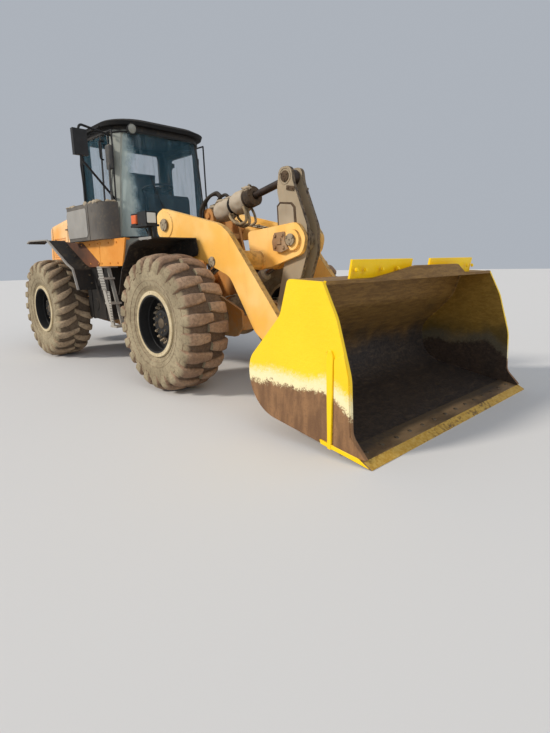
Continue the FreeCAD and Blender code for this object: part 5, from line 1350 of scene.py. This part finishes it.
def side_window_rubber(piece, sign, x0, x1, waist, top):
    """A seal round a side window, with points at its waist since the side leans in."""
    corners = ((x0, GLASS_LOW), (x1, GLASS_LOW), (x1, waist), (x1, top), (x0, top), (x0, waist),
               (x0, GLASS_LOW))
    rubber(piece, [(x, sign * (cab_half(z) + SEAL_OFF), z) for x, z in corners])


seals = Piece()
rubber(seals, cab_front_line(GLASS_LOW, SEAL_OFF))
rubber(seals, cab_front_line(GLASS_HIGH, SEAL_OFF))
for sign in (1, -1):
    rubber(seals, [Vector((R(0.05), sign * (cab_half(z) + SEAL_OFF), z))
                   for z in (GLASS_LOW, 2.2, 2.7, GLASS_HIGH)])
rubber(seals, [(R(-0.976), y, z) for y, z in (
    (-0.56, REAR_GLASS_LOW), (0.56, REAR_GLASS_LOW), (0.56, GLASS_HIGH), (-0.56, GLASS_HIGH),
    (-0.56, REAR_GLASS_LOW))])
seals.done("cab_window_rubbers", m_dark_plastic, "rear_half", "dark_plastic")

side_seal = Piece()
side_window_rubber(side_seal, -1, R(-0.88), R(-0.08), 2.4, GLASS_HIGH)
side_seal.done("cab_side_window_rubber", m_dark_plastic, "rear_half", "dark_plastic")
door_seal = Piece()
side_window_rubber(door_seal, 1, R(-0.81), R(-0.15), 2.3, 2.96)
door_seal.done("door_window_rubber", m_dark_plastic, "door", "dark_plastic")

slide = Piece()
for x in (R(-0.250), R(-0.262)):
    slide.strip([(x, -cab_half(z) - 0.002, z) for z in (1.725, 2.2, 2.6, 3.022)], 0.026, 0.010,
                (0, -1, 0))
slide.done("sliding_window_frame", m_dark_plastic, "rear_half", "dark_plastic", bevel=0.002)

grip = Piece()
rail = [Vector((R(0.030), -0.735, 2.640)), Vector((R(0.036), -0.768, 2.610)),
        Vector((R(0.055), -0.785, 2.350)), Vector((R(0.075), -0.790, 2.050)),
        Vector((R(0.090), -0.792, 1.810)), Vector((R(0.090), -0.770, 1.760)),
        Vector((R(0.088), -0.735, 1.748))]
grip.tube(rail, 0.013, 14, steps=8)
grip.done("cab_corner_handrail", m_charcoal, "rear_half", "cab_dark")
grab = Piece()
x = R(-0.225)
grab.tube([(x, -0.706, 2.720), (x, -0.748, 2.735), (x, -0.752, 2.830), (x, -0.748, 2.935),
           (x, -0.702, 2.950)], 0.010, 12, steps=8)
grab.done("window_handle", m_dark_plastic, "rear_half", "dark_plastic")
cover = Piece()
cover.box((R(-0.060), -0.772, 2.560), (R(0.060), -0.712, 2.860))
cover.done("pillar_box", m_charcoal, "rear_half", "cab_dark", bevel=0.028, segments=5)


def on_glass(y, z, off):
    """A point just off the windscreen."""
    half, nose = cab_half(z), cab_nose(z)
    flat = half - CAB_CORNER
    side = abs(y) - flat
    if side <= 0:
        return Vector((nose + off, y, z))
    a = math.asin(min(1.0, side / CAB_CORNER))
    return Vector((nose - CAB_CORNER + (CAB_CORNER + off) * math.cos(a),
                   math.copysign(flat + (CAB_CORNER + off) * math.sin(a), y), z))


wiper = Piece()
arm_line = [on_glass(0.02, 1.700, 0.030), on_glass(-0.06, 1.85, 0.034),
            on_glass(-0.14, 2.05, 0.030), on_glass(-0.20, 2.20, 0.020)]
wiper.tube(arm_line, lambda t: 0.009 - 0.004 * t, 8)
wiper.tube([on_glass(-0.10, 1.93, 0.012), on_glass(-0.20, 2.20, 0.013),
            on_glass(-0.30, 2.50, 0.012)], 0.007, 8, steps=6)
wiper.lathe([(0.001, 0.05), (0.018, 0.05), (0.024, 0.042), (0.026, 0.0)],
            on_glass(0.02, 1.690, -0.012), (1, 0, 0), 24)
wiper.done("windscreen_wiper", m_dark_plastic, "rear_half", "dark_plastic")

roof = Piece()
for sign in (1, -1):
    roof.tube([(R(-1.02), sign * 0.752, 3.104), (R(-0.60), sign * 0.757, 3.104),
               (R(-0.17), sign * 0.757, 3.104)], 0.012, 8)
for x, y in ((x, y) for x in (R(-0.95), R(-0.20)) for y in (0.62, -0.62)):
    roof.bolt((x, y, 3.182), (0, 0, 1), 0.018, 0.012)
roof.done("roof_gutters_and_bolts", m_roof, "rear_half", "cab_dark")
LAMP_AT = Vector((R(0.200), -0.500, 3.050))
LAMP_WAY = (1, 0, -0.12)
work = Piece()
work.lathe([(0.001, -0.075), (0.030, -0.072), (0.052, -0.045), (0.062, -0.010), (0.064, 0.0),
            (0.066, 0.012), (0.060, 0.014), (0.058, 0.002)], LAMP_AT, LAMP_WAY, 32)
work.rod(LAMP_AT + Vector((-0.030, 0, 0.020)), LAMP_AT + Vector((-0.034, 0, 0.062)), 0.012, 12)
work.done("roof_work_lamps", m_dark_plastic, "rear_half", "dark_plastic")
glow = Piece()
glow.lathe([(0.0575, 0.002), (0.040, 0.008), (0.001, 0.012)], LAMP_AT, LAMP_WAY, 32)
glow.done("roof_work_lamp_glass", m_lens_dusty, "rear_half", "lamp_red")

HANDLE_Z = 1.62
fittings = Piece()
y = cab_half(HANDLE_Z)
fittings.box((R(-0.780), y - 0.004, HANDLE_Z - 0.03), (R(-0.660), y + 0.016, HANDLE_Z + 0.03))
fittings.tube([(R(-0.775), y + 0.012, HANDLE_Z), (R(-0.755), y + 0.050, HANDLE_Z),
               (R(-0.685), y + 0.050, HANDLE_Z), (R(-0.665), y + 0.012, HANDLE_Z)],
              0.010, 10, steps=6)
for z in (1.56, 2.20, 2.84):
    y = cab_half(z) + 0.008
    fittings.rod((R(-0.105), y, z - 0.045), (R(-0.105), y, z + 0.045), 0.014, 16)
fittings.done("door_handle_and_hinges", m_dark_plastic, "door", "dark_plastic", bevel=0.003)


# Inside the cab: seat, levers, pedals, wheel fittings and dials

SEAT_X = R(-0.520)
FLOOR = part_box("operator_seat")[0].z


CUSHION_CELLS = 22


def cushion(name, low, high, crown, tilt=0.0):
    """A padded form of the seat: full in its middle, drawn in at its edges and sewn channels."""
    low, high = Vector(low), Vector(high)
    middle_point, half = (low + high) / 2, (high - low) / 2
    piece = Piece()
    cells = CUSHION_CELLS
    rows = {}
    for face in (1, -1):
        for i in range(cells + 1):
            for j in range(cells + 1):
                u, v = 2 * i / cells - 1, 2 * j / cells - 1
                edge = (1 - abs(u) ** 5) * (1 - abs(v) ** 5)
                rise = half.z * (0.42 + 0.58 * edge ** 0.45)
                channel = 0.010 * (math.exp(-((abs(v) - 0.46) / 0.05) ** 2)
                                   + math.exp(-((u + 0.1) / 0.05) ** 2) * 0.6)
                top = rise + crown * edge - channel * (1 if face > 0 else 0)
                pull = 1 - 0.035 * (1 - edge)
                spot = Vector((half.x * u * pull, half.y * v * pull, top * face))
                rows[face, i, j] = piece.bm.verts.new(spot)
    for face in (1, -1):
        for i in range(cells):
            for j in range(cells):
                loop = [rows[face, i, j], rows[face, i + 1, j], rows[face, i + 1, j + 1],
                        rows[face, i, j + 1]]
                piece.bm.faces.new(loop if face > 0 else loop[::-1])
    border = [(i, 0) for i in range(cells)] + [(cells, j) for j in range(cells)] \
        + [(i, cells) for i in range(cells, 0, -1)] + [(0, j) for j in range(cells, 0, -1)]
    for (i, j), (k, m) in zip(border, border[1:] + border[:1]):
        piece.bm.faces.new([rows[1, i, j], rows[-1, i, j], rows[-1, k, m], rows[1, k, m]])
    turn = Matrix.Rotation(tilt, 3, "Y")
    for vert in piece.bm.verts:
        vert.co = middle_point + turn @ vert.co
    made = piece.done(name, m_seat, "rear_half", "seat_cloth", smooth=70)
    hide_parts("operator_seat")


cushion("seat_cushion", (SEAT_X - 0.245, -0.245, FLOOR + 0.560),
        (SEAT_X + 0.245, 0.245, FLOOR + 0.675), 0.012)
cushion("seat_back", (SEAT_X - 0.350, -0.235, FLOOR + 0.895),
        (SEAT_X + 0.225, 0.235, FLOOR + 1.000), 0.010, tilt=math.radians(-83))
suspension = Piece()
suspension.box((SEAT_X - 0.20, -0.21, FLOOR), (SEAT_X + 0.20, 0.21, FLOOR + 0.10))
for k in range(6):
    z = FLOOR + 0.10 + k * 0.072
    grow = 0.150 if k % 2 else 0.172
    suspension.box((SEAT_X - grow, -grow, z), (SEAT_X + grow, grow, z + 0.074))
suspension.box((SEAT_X - 0.20, -0.22, FLOOR + 0.520), (SEAT_X + 0.20, 0.22, FLOOR + 0.562))
for side in (1, -1):
    suspension.tube([(SEAT_X - 0.235, side * 0.236, FLOOR + 0.70),
                      (SEAT_X - 0.225, side * 0.240, FLOOR + 0.84),
                      (SEAT_X - 0.130, side * 0.240, FLOOR + 0.865),
                      (SEAT_X + 0.080, side * 0.240, FLOOR + 0.860)], 0.020, 12, steps=6)
made = suspension.done("seat_suspension_and_arms", m_dark_plastic, "rear_half", "dark_plastic",
                       bevel=0.008, segments=3)
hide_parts("operator_seat")

WHEEL_HUB = Vector((R(-0.110), 0.0, 2.400))
WHEEL_LEAN = (WHEEL_HUB - Vector((R(0.060), 0.0, FLOOR))).normalized()
controls = Piece()
controls.lathe([(0.001, 0.030), (0.038, 0.028), (0.052, 0.014), (0.056, -0.010),
                (0.045, -0.045)], WHEEL_HUB, WHEEL_LEAN, 36)
turn = WHEEL_LEAN.to_track_quat("Z", "Y").to_matrix()
SPOKE = 0.200
for a in (math.pi / 2, math.pi * 7 / 6, math.pi * 11 / 6):
    rim_at = WHEEL_HUB + turn @ Vector((SPOKE * math.cos(a), SPOKE * math.sin(a), 0.0))
    controls.tube([WHEEL_HUB + turn @ Vector((0.04 * math.cos(a), 0.04 * math.sin(a), -0.004)),
                   WHEEL_HUB.lerp(rim_at, 0.6) - WHEEL_LEAN * 0.010, rim_at], 0.010, 8, steps=4)
controls.lathe([(0.001, 0.075), (0.018, 0.070), (0.024, 0.050), (0.018, 0.030), (0.012, 0.018)],
               WHEEL_HUB + turn @ Vector((0.14, 0.14, 0.0)), WHEEL_LEAN, 20)
x, foot_z = R(-0.330), 2.285
for y, tall in ((-0.40, 0.17), (-0.455, 0.15)):
    controls.tube([(x, y, foot_z), (x + 0.010, y, foot_z + tall * 0.6),
                   (x + 0.004, y, foot_z + tall)], 0.007, 8)
    controls.lathe([(0.001, 0.030), (0.016, 0.026), (0.020, 0.0), (0.014, -0.026),
                    (0.008, -0.030)], (x + 0.004, y, 2.300 + tall), (0, 0, 1), 18)
    controls.lathe([(0.008, 0.040), (0.018, 0.030), (0.022, 0.016), (0.034, 0.0)], (x, y, 2.290),
                   (0, 0, 1), 20)
for y in (-0.16, 0.15):
    controls.prism([(R(x), FLOOR + rise) for x, rise in (
        (0.04, 0.010), (-0.05, 0.055), (-0.055, 0.070), (0.04, 0.030))], y - 0.045, y + 0.045)
controls.done("wheel_hub_levers_and_pedals", m_dark_plastic, "rear_half", "dark_plastic",
              bevel=0.002)
dials = Piece()
for y, z, r in ((-0.13, 2.170, 0.045), (0.0, 2.185, 0.058), (0.13, 2.170, 0.045)):
    dials.lathe([(r * 0.86, 0.010), (r * 0.90, 0.016), (r, 0.014), (r, 0.0)],
                (R(0.119), y, z), (-1, 0, 0.1), 32)
    dials.lathe([(0.001, 0.006), (r * 0.86, 0.006)], (R(0.119), y, z), (-1, 0, 0.1), 32)
dials.done("dash_dials", m_light_plastic, "rear_half", "grey_plastic")


# Fenders: front lamps, lips and bolts

HEADLAMP_Y = 1.085
MARKER_Y = 1.1245

for side, sign in SIDES:
    glass = Piece()
    lamp_y, marker_y = sign * HEADLAMP_Y, sign * MARKER_Y
    glass.box((F(-0.1305), lamp_y - 0.052, 1.782), (F(-0.120), lamp_y + 0.052, 1.888))
    glass.done(f"headlamp_glass_{side}", m_lens_clear, "front_half", "lamp_red", bevel=0.005,
               segments=3)
    rim = Piece()
    y0, y1 = lamp_y - 0.064, lamp_y + 0.064
    rim.tube([(F(-0.128), y, z) for y, z in ((y0, 1.771), (y1, 1.771), (y1, 1.899), (y0, 1.899),
                                             (y0, 1.771))], 0.006, 8, steps=1)
    for y in (y0 + 0.010, y1 - 0.010):
        for z in (1.781, 1.889):
            rim.bolt((F(-0.122), y, z), (1, 0, 0), 0.005, 0.004)
    rim.done(f"headlamp_rim_{side}", m_dark_plastic, "front_half", "dark_plastic")
    marker = Piece()
    marker.box((F(-0.422), marker_y - 0.037, 1.782), (F(-0.325), marker_y + 0.040, 1.880))
    marker.done(f"marker_lens_{side}", m_lens_amber, "front_half", "lamp_red", bevel=0.010,
                segments=4)
    wire = Piece()
    wire.tube([(F(x), sign * y, z) for x, y, z in (
        (-0.300, 1.060, 1.820), (-0.350, 1.040, 1.800), (-0.380, 1.010, 1.740),
        (-0.420, 0.960, 1.690), (-0.430, 0.900, 1.640))], 0.0065, 8, steps=8)
    wire.done(f"lamp_wire_{side}", m_hose, "front_half", "dark_plastic")
    plates = Piece()
    for x in (F(-0.375), F(-0.215)):
        for y in (1.030, 1.145):
            plates.bolt((x, sign * y, 1.771), (0, 0, 1), 0.010, 0.008)
    plates.done(f"lamp_plate_bolts_{side}", m_bolt, "front_half", "bare_steel")

edges = Piece()
FENDER_SIDE_Y = 1.203
for sign in (1, -1):
    edges.strip([(F(x), sign * FENDER_SIDE_Y, 1.622) for x in (-0.200, -0.07, 0.050)], 0.026, 0.007,
                (0, sign, 0))
    for x in (F(-0.16), F(-0.02)):
        edges.bolt((x, sign * 1.206, 1.612), (0, sign, 0), 0.009, 0.008)
edges.done("front_fender_lips", m_light_plastic, "front_half", "grey_plastic", bevel=0.002)

REAR_FENDER_LINE = [(R(-2.300), 1.735), (R(-2.180), 1.765), (R(-1.450), 1.745),
                    (R(-0.800), 1.395), (R(-0.615), 1.320), (R(-0.505), 1.040)]
lips = Piece()
for sign in (1, -1):
    lips.strip([(x, sign * 1.098, z + 0.002) for x, z in REAR_FENDER_LINE], 0.020, 0.030,
               (0, sign, 0))
lips.done("rear_fender_lips", m_light_plastic, "rear_half", "grey_plastic", bevel=0.003)
fender_bolts = Piece()
for sign in (1, -1):
    for (x0, z0), (x1, z1) in zip(REAR_FENDER_LINE, REAR_FENDER_LINE[1:]):
        for share in (0.3, 0.7):
            x, z = x0 + (x1 - x0) * share, z0 + (z1 - z0) * share
            normal = Vector((-(z1 - z0), 0, (x1 - x0)))
            normal = normal if normal.z > 0 else -normal
            fender_bolts.bolt(Vector((x, sign * 0.900, z)) + normal.normalized() * 0.002, normal,
                              0.011, 0.009)
fender_bolts.done("rear_fender_bolts", m_bolt, "rear_half", "bare_steel")


# Walkways: tread plate, the panel's joint and bolts, right apron, ladder plates, tank straps

WALKWAY_TOP = 1.4255
STEP_TOP = 0.7205
BAR_PITCH = 0.046
BAR_TURN = 0.785


def tread_plate(piece, x0, x1, y0, y1, z):
    """Raised bars, alternately turned, over a plate."""
    for i in range(int((x1 - x0) / BAR_PITCH)):
        for j in range(int((y1 - y0) / BAR_PITCH)):
            x = x0 + (i + 0.5) * BAR_PITCH
            y = y0 + (j + 0.5) * BAR_PITCH
            turn = BAR_TURN if (i + j) % 2 else -BAR_TURN
            piece.box((x - 0.015, y - 0.0035, z - 0.001), (x + 0.015, y + 0.0035, z + 0.0025),
                      Matrix.Rotation(turn, 3, "Z"))


tread = Piece()
tread_plate(tread, R(-0.92), R(0.27), 0.755, 0.845, WALKWAY_TOP)
for x in (R(-0.33), R(-0.185)):
    tread_plate(tread, x - 0.06, x + 0.11, 0.860, 0.960, STEP_TOP)
tread.done("tread_plate_bars", m_steps, "rear_half", "cab_dark")
WALKWAY_SIDE_Y = 0.8505
joint_line = Piece()
joint_line.strip([(R(-0.300), -WALKWAY_SIDE_Y, 1.355), (R(-0.300), -WALKWAY_SIDE_Y, 1.690)],
                 0.012, 0.003, (0, -1, 0))
# The sloped fender panel's brown is painted shade over orange paint
apron = Piece()
apron.prism([(R(-1.440), 1.726), (R(-0.870), 1.682), (R(-0.800), 1.676), (R(-0.318), 1.392),
             (R(-0.370), 1.342), (R(-0.660), 1.342), (R(-0.820), 1.400)],
            -WALKWAY_SIDE_Y - 0.005, -WALKWAY_SIDE_Y)
apron.done("right_fender_apron", m_orange_panel_in_shade, "rear_half", "cab_dark", bevel=0.002)
for x in (R(-0.85), R(-0.60), R(-0.34), R(-0.26), R(-0.02), R(0.20)):
    for z in (1.39, 1.65):
        joint_line.bolt((x, -0.851, z), (0, -1, 0), 0.011, 0.009)
for x in (R(-0.62), R(-0.10)):
    joint_line.bolt((x, 0.851, 1.390), (0, 1, 0), 0.011, 0.009)
joint_line.done("walkway_panel_bolts", m_walkway, "rear_half", "loader_yellow")


HOLE_PITCH = 0.034


def ladder_plate(piece, holes, corners, sign):
    """A flat plate on the ladder's outer side, with rows of dark discs standing in for round holes:
    painted shade.
    """
    y0, y1 = span(sign, 0.9725, 0.9775)
    piece.prism(corners, y0, y1)
    a, b, c, d = (Vector((u, v)) for u, v in corners)
    columns = max(2, int((b - a).length / HOLE_PITCH))
    rows = int((d - a).length / HOLE_PITCH)
    for i in range(columns):
        for j in range(rows):
            across, down = (i + 0.5) / columns, (j + 0.5) / rows
            at = a.lerp(b, across).lerp(d.lerp(c, across), down)
            # Dark disc: painted shade where a hole would show
            holes.rod((at.x, sign * 0.9778, at.y), (at.x, sign * 0.9785, at.y), 0.009, 10)


ladder = Piece()
ladder_holes = Piece()
for sign in (1, -1):
    for corners in (((-0.165, 1.345), (-0.020, 1.345), (0.070, 1.040), (-0.065, 1.040)),
                    ((0.075, 1.030), (0.150, 1.030), (0.190, 0.620), (0.140, 0.620))):
        ladder_plate(ladder, ladder_holes, [(R(x), z) for x, z in corners], sign)
ladder.done("ladder_side_plates", m_steps, "rear_half", "bare_steel", bevel=0.0015)
ladder_holes.done("ladder_plate_holes", m_oily_dark_and_shade, "rear_half", "cab_dark")

TANK_STRAPS_X = (-1.30, -0.88)
TANK_CAP = (-0.98, 1.120)
TANK_DRAIN = (-1.18, 0.82)
TANK_SIDE_Y = 0.8305
tank = Piece()
for sign in (1, -1):
    for x in TANK_STRAPS_X:
        tank.tube([(x, sign * 0.575, 0.617), (x, sign * 0.80, 0.617), (x, sign * 0.833, 0.65),
                   (x, sign * 0.834, 0.95), (x, sign * 0.833, 1.30)], 0.008, 6, steps=3)
        tank.box((x - 0.022, sign * 0.838 - 0.007, 1.255),
                 (x + 0.022, sign * 0.838 + 0.007, 1.335))
        tank.bolt((x, sign * 0.845, 1.295), (0, sign, 0), 0.010, 0.012)
    tank.lathe([(0.001, 0.034), (0.036, 0.034), (0.044, 0.028), (0.046, 0.008), (0.052, 0.0)],
               pin_at(TANK_CAP, sign * TANK_SIDE_Y), (0, sign, 0), 32)
    ring_bolts(tank, pin_at(TANK_DRAIN, sign * 0.832), (0, sign, 0), 0.070, 6, 0.010, 0.008)
    tank.lathe([(0.001, 0.008), (0.086, 0.008), (0.090, 0.0)],
               pin_at(TANK_DRAIN, sign * TANK_SIDE_Y), (0, sign, 0), 36)
tank.done("tank_straps_and_caps", m_tank_in_shade, "rear_half", "cab_dark", bevel=0.0015)


# Air unit: rib, side panel, lid with its bolts, intake slats and dirt along the top

air = Piece()
air.strip([(R(-0.28), -0.976, 1.70), (R(-0.28), -0.976, 2.14)], 0.030, 0.006, (0, -1, 0))
air.done("air_unit_ribs", m_grey_plastic, "rear_half", "grey_plastic", bevel=0.003)
face = Piece()
face.prism([(R(-0.955), 1.735), (R(-0.965), 2.045), (R(-0.930), 2.105), (R(-0.350), 2.105),
            (R(-0.320), 2.070), (R(-0.320), 1.770), (R(-0.350), 1.735)], -0.983, -0.9745)
face.done("air_unit_side_panel", m_light_plastic, "rear_half", "grey_plastic", bevel=0.004)
AIR_MIDDLE_Y = -0.865
AIR_TOP = 2.153
lid = Piece()
lid.strip([(R(-0.99), AIR_MIDDLE_Y, AIR_TOP), (R(0.04), AIR_MIDDLE_Y, AIR_TOP)], 0.200, 0.012,
          (0, 0, 1))
for x in (R(-0.94), R(-0.55), R(-0.15)):
    lid.bolt((x, -0.955, 2.06), (0, -1, 0), 0.012, 0.024)
    lid.bolt((x, AIR_MIDDLE_Y, AIR_TOP + 0.005), (0, 0, 1), 0.012, 0.008)
lid.done("air_unit_lid", m_grey_plastic, "rear_half", "grey_plastic", bevel=0.004)
intake = Piece()
for k in range(9):
    z = 1.86 + k * 0.026
    intake.box((R(-0.99) - 0.012, -0.935, z), (R(-0.99), -0.790, z + 0.010),
               Matrix.Rotation(0.35, 3, "Y"))
intake.done("air_unit_intake_slats", m_grey_plastic, "rear_half", "grey_plastic")
dirt = Piece()
random_dirt = random.Random(5)
for k in range(60):
    x = R(-0.97) + 1.06 * random_dirt.random()
    lump(dirt, (x, -0.86 + random_dirt.uniform(-0.095, 0.09), 2.160),
         (random_dirt.uniform(0.025, 0.060), random_dirt.uniform(0.020, 0.05),
          random_dirt.uniform(0.012, 0.032)), k * 2.3, 2)
dirt.done("air_unit_dirt", m_mud_grey, "rear_half", "grey_plastic", smooth=60)


# Hood, exhaust, grille and counterweight


def hood_half(z):
    return 0.575 - 0.055 * (z - 1.330) / 0.90


LOUVRE = 0.46
louvres = Piece()
for sign in (1, -1):
    for start in (R(-1.50) - LOUVRE, R(-2.20) - LOUVRE):
        for k in range(11):
            z = 1.50 + k * 0.034
            y = sign * (hood_half(z) - 0.001)
            louvres.prism([(y, z), (y + sign * 0.015, z - 0.008), (y + sign * 0.015, z - 0.013),
                           (y, z - 0.024)], start, start + LOUVRE, axis="X")
louvres.done("hood_louvres", m_hood, "hood", "loader_yellow")
hood_trim = Piece()
for sign in (1, -1):
    for x in (R(-1.36), R(-2.08), R(-2.74)):
        hood_trim.strip([(x, sign * (hood_half(z) + 0.0005), z) for z in (1.345, 1.75, 2.02)],
                        0.010, 0.003, (0, sign, 0))
    for x in (R(-1.24), R(-2.72)):
        y = sign * hood_half(1.42)
        hood_trim.box((x - 0.026, min(y, y + sign * 0.012), 1.385),
                      (x + 0.026, max(y, y + sign * 0.012), 1.445))
        hood_trim.rod((x, y + sign * 0.010, 1.425), (x, y + sign * 0.024, 1.425), 0.013, 14)
    y = hood_half(1.95)
    hood_trim.tube([(R(-1.95), sign * y, 1.950), (R(-1.955), sign * (y + 0.040), 1.950),
                    (R(-2.075), sign * (y + 0.040), 1.950), (R(-2.080), sign * y, 1.950)],
                   0.009, 10, steps=6)
hood_trim.done("hood_seams_and_latches", m_charcoal, "hood", "cab_dark", bevel=0.002)

stack = Piece()
stack_at = Vector((R(-1.750), 0.220, 2.632))
stack.lathe([(0.063, -0.06), (0.068, -0.055), (0.068, -0.030), (0.063, -0.026)], stack_at,
            (0, 0, 1), 36)
stack.lathe([(0.056, 0.001), (0.055, -0.08), (0.001, -0.08)], stack_at, (0, 0, 1), 36)
stack.lathe([(0.092, 0.001), (0.098, 0.012), (0.072, 0.018)], stack_at - Vector((0, 0, 0.42)),
            (0, 0, 1), 40)
ring_bolts(stack, stack_at - Vector((0, 0, 0.410)), (0, 0, 1), 0.085, 6, 0.009, 0.010)
stack.done("exhaust_clamp_and_foot", m_charcoal, "hood", "bare_steel")

GRILLE_X = -3.3985
GRILLE_WIRE = 0.0022
mesh = Piece()
for k in range(39):
    y = -0.380 + k * 0.020
    mesh.rod((GRILLE_X, y, 1.500), (GRILLE_X, y, 1.920), GRILLE_WIRE, 6)
for k in range(21):
    z = 1.505 + k * 0.0205
    mesh.rod((GRILLE_X - 0.002, -0.385, z), (GRILLE_X - 0.002, 0.385, z), GRILLE_WIRE, 6)
mesh.done("rear_grille_mesh", m_charcoal, "hood", "cab_dark")

# The counterweight's back is flat up to 0.51 m from the middle, and rounded beyond
BACK_X = -3.9065
weight = Piece()
for y in (-0.50, -0.25, 0.25, 0.50):
    weight.lathe([(0.001, -0.004), (0.026, -0.004), (0.030, 0.004), (0.046, 0.004),
                  (0.048, -0.004)], (BACK_X, y, 1.120), (-1, 0, 0), 30)
    weight.rod((-3.906, y, 1.120), (-3.918, y, 1.120), 0.022, 6)
weight.tube([(-3.847, 0, 1.350), (-3.847, 0, 1.322), (-3.847, 0, 1.300)], 0.019, 14)
weight.done("counterweight_bolts", m_bolt, "rear_half", "bare_steel")
reflectors = Piece()
for y in (-0.45, 0.45):
    reflectors.box((-3.9125, y - 0.060, 0.900), (-3.904, y + 0.060, 0.945))
reflectors.done("rear_reflectors", m_lens_red, "rear_half", "lamp_red", bevel=0.003)
for name, material, at_y, half in (("tail_lamp_lenses", m_lens_red, 0.668, 0.034),
                                   ("rear_turn_lamp_lenses", m_lens_amber, 0.743, 0.033)):
    lenses = Piece()
    for sign in (1, -1):
        lenses.box((-3.7450, sign * at_y - half, 1.322), (-3.7360, sign * at_y + half, 1.408))
    lenses.done(name, material, "rear_half", "lamp_red", bevel=0.004)


# Stage: floor, soft light and the photograph's camera

floor_mesh = bpy.data.meshes.new("floor")
FLOOR_HALF = 60
floor_mesh.from_pydata([(x * FLOOR_HALF, y * FLOOR_HALF, 0) for x, y in (
    (-1, -1), (1, -1), (1, 1), (-1, 1))], [], [(0, 1, 2, 3)])
floor = bpy.data.objects.new("floor", floor_mesh)
bpy.context.scene.collection.objects.link(floor)
floor.location.z = -0.0005
g = Graph("floor_paper")
g.set(Base_Color=(0.62, 0.61, 0.60, 1.0), Roughness=0.9)
floor_mesh.materials.append(g.material)

world = bpy.data.worlds.new("studio")
world.use_nodes = True
sky = world.node_tree.nodes["Background"].inputs
sky["Color"].default_value = (0.80, 0.86, 0.95, 1.0)
sky["Strength"].default_value = 0.52
bpy.context.scene.world = world


def sun(name, towards, strength, spread, colour):
    lamp = bpy.data.lights.new(name, "SUN")
    lamp.energy = strength
    lamp.angle = math.radians(spread)
    lamp.color = colour
    made = bpy.data.objects.new(name, lamp)
    made.rotation_mode = "QUATERNION"
    made.rotation_quaternion = Vector(towards).to_track_quat("-Z", "Y")
    bpy.context.scene.collection.objects.link(made)


sun("key", (0.42, 0.86, -0.62), 2.75, 9.0, (1.0, 0.94, 0.85))
sun("fill", (-0.9, 0.25, -0.55), 0.95, 60.0, (0.95, 0.97, 1.0))

# The camera fitted to the photograph: focal length and longer side in pixels, angles in radians
FOCAL = 480.19
PHOTO_HEIGHT = 733
YAW, PITCH, ROLL = 2.37246, 0.21159, -0.0228
CAMERA_AT = (4.5286 + FRONT_X, -3.8348, 1.3384)
ahead = Vector((math.cos(YAW) * math.cos(PITCH), math.sin(YAW) * math.cos(PITCH),
                -math.sin(PITCH)))
level_right = Vector((math.sin(YAW), -math.cos(YAW), 0.0))
level_up = level_right.cross(ahead)
right = level_right * math.cos(ROLL) + level_up * math.sin(ROLL)
up = level_up * math.cos(ROLL) - level_right * math.sin(ROLL)
camera_data = bpy.data.cameras.new("camera")
camera_data.sensor_width = 36.0
camera_data.lens = FOCAL / PHOTO_HEIGHT * camera_data.sensor_width
camera = bpy.data.objects.new("camera", camera_data)
camera.matrix_world = Matrix((
    (right.x, up.x, -ahead.x, CAMERA_AT[0]),
    (right.y, up.y, -ahead.y, CAMERA_AT[1]),
    (right.z, up.z, -ahead.z, CAMERA_AT[2]),
    (0, 0, 0, 1),
))
bpy.context.scene.collection.objects.link(camera)
bpy.context.scene.camera = camera
bpy.context.scene.view_settings.view_transform = "Standard"
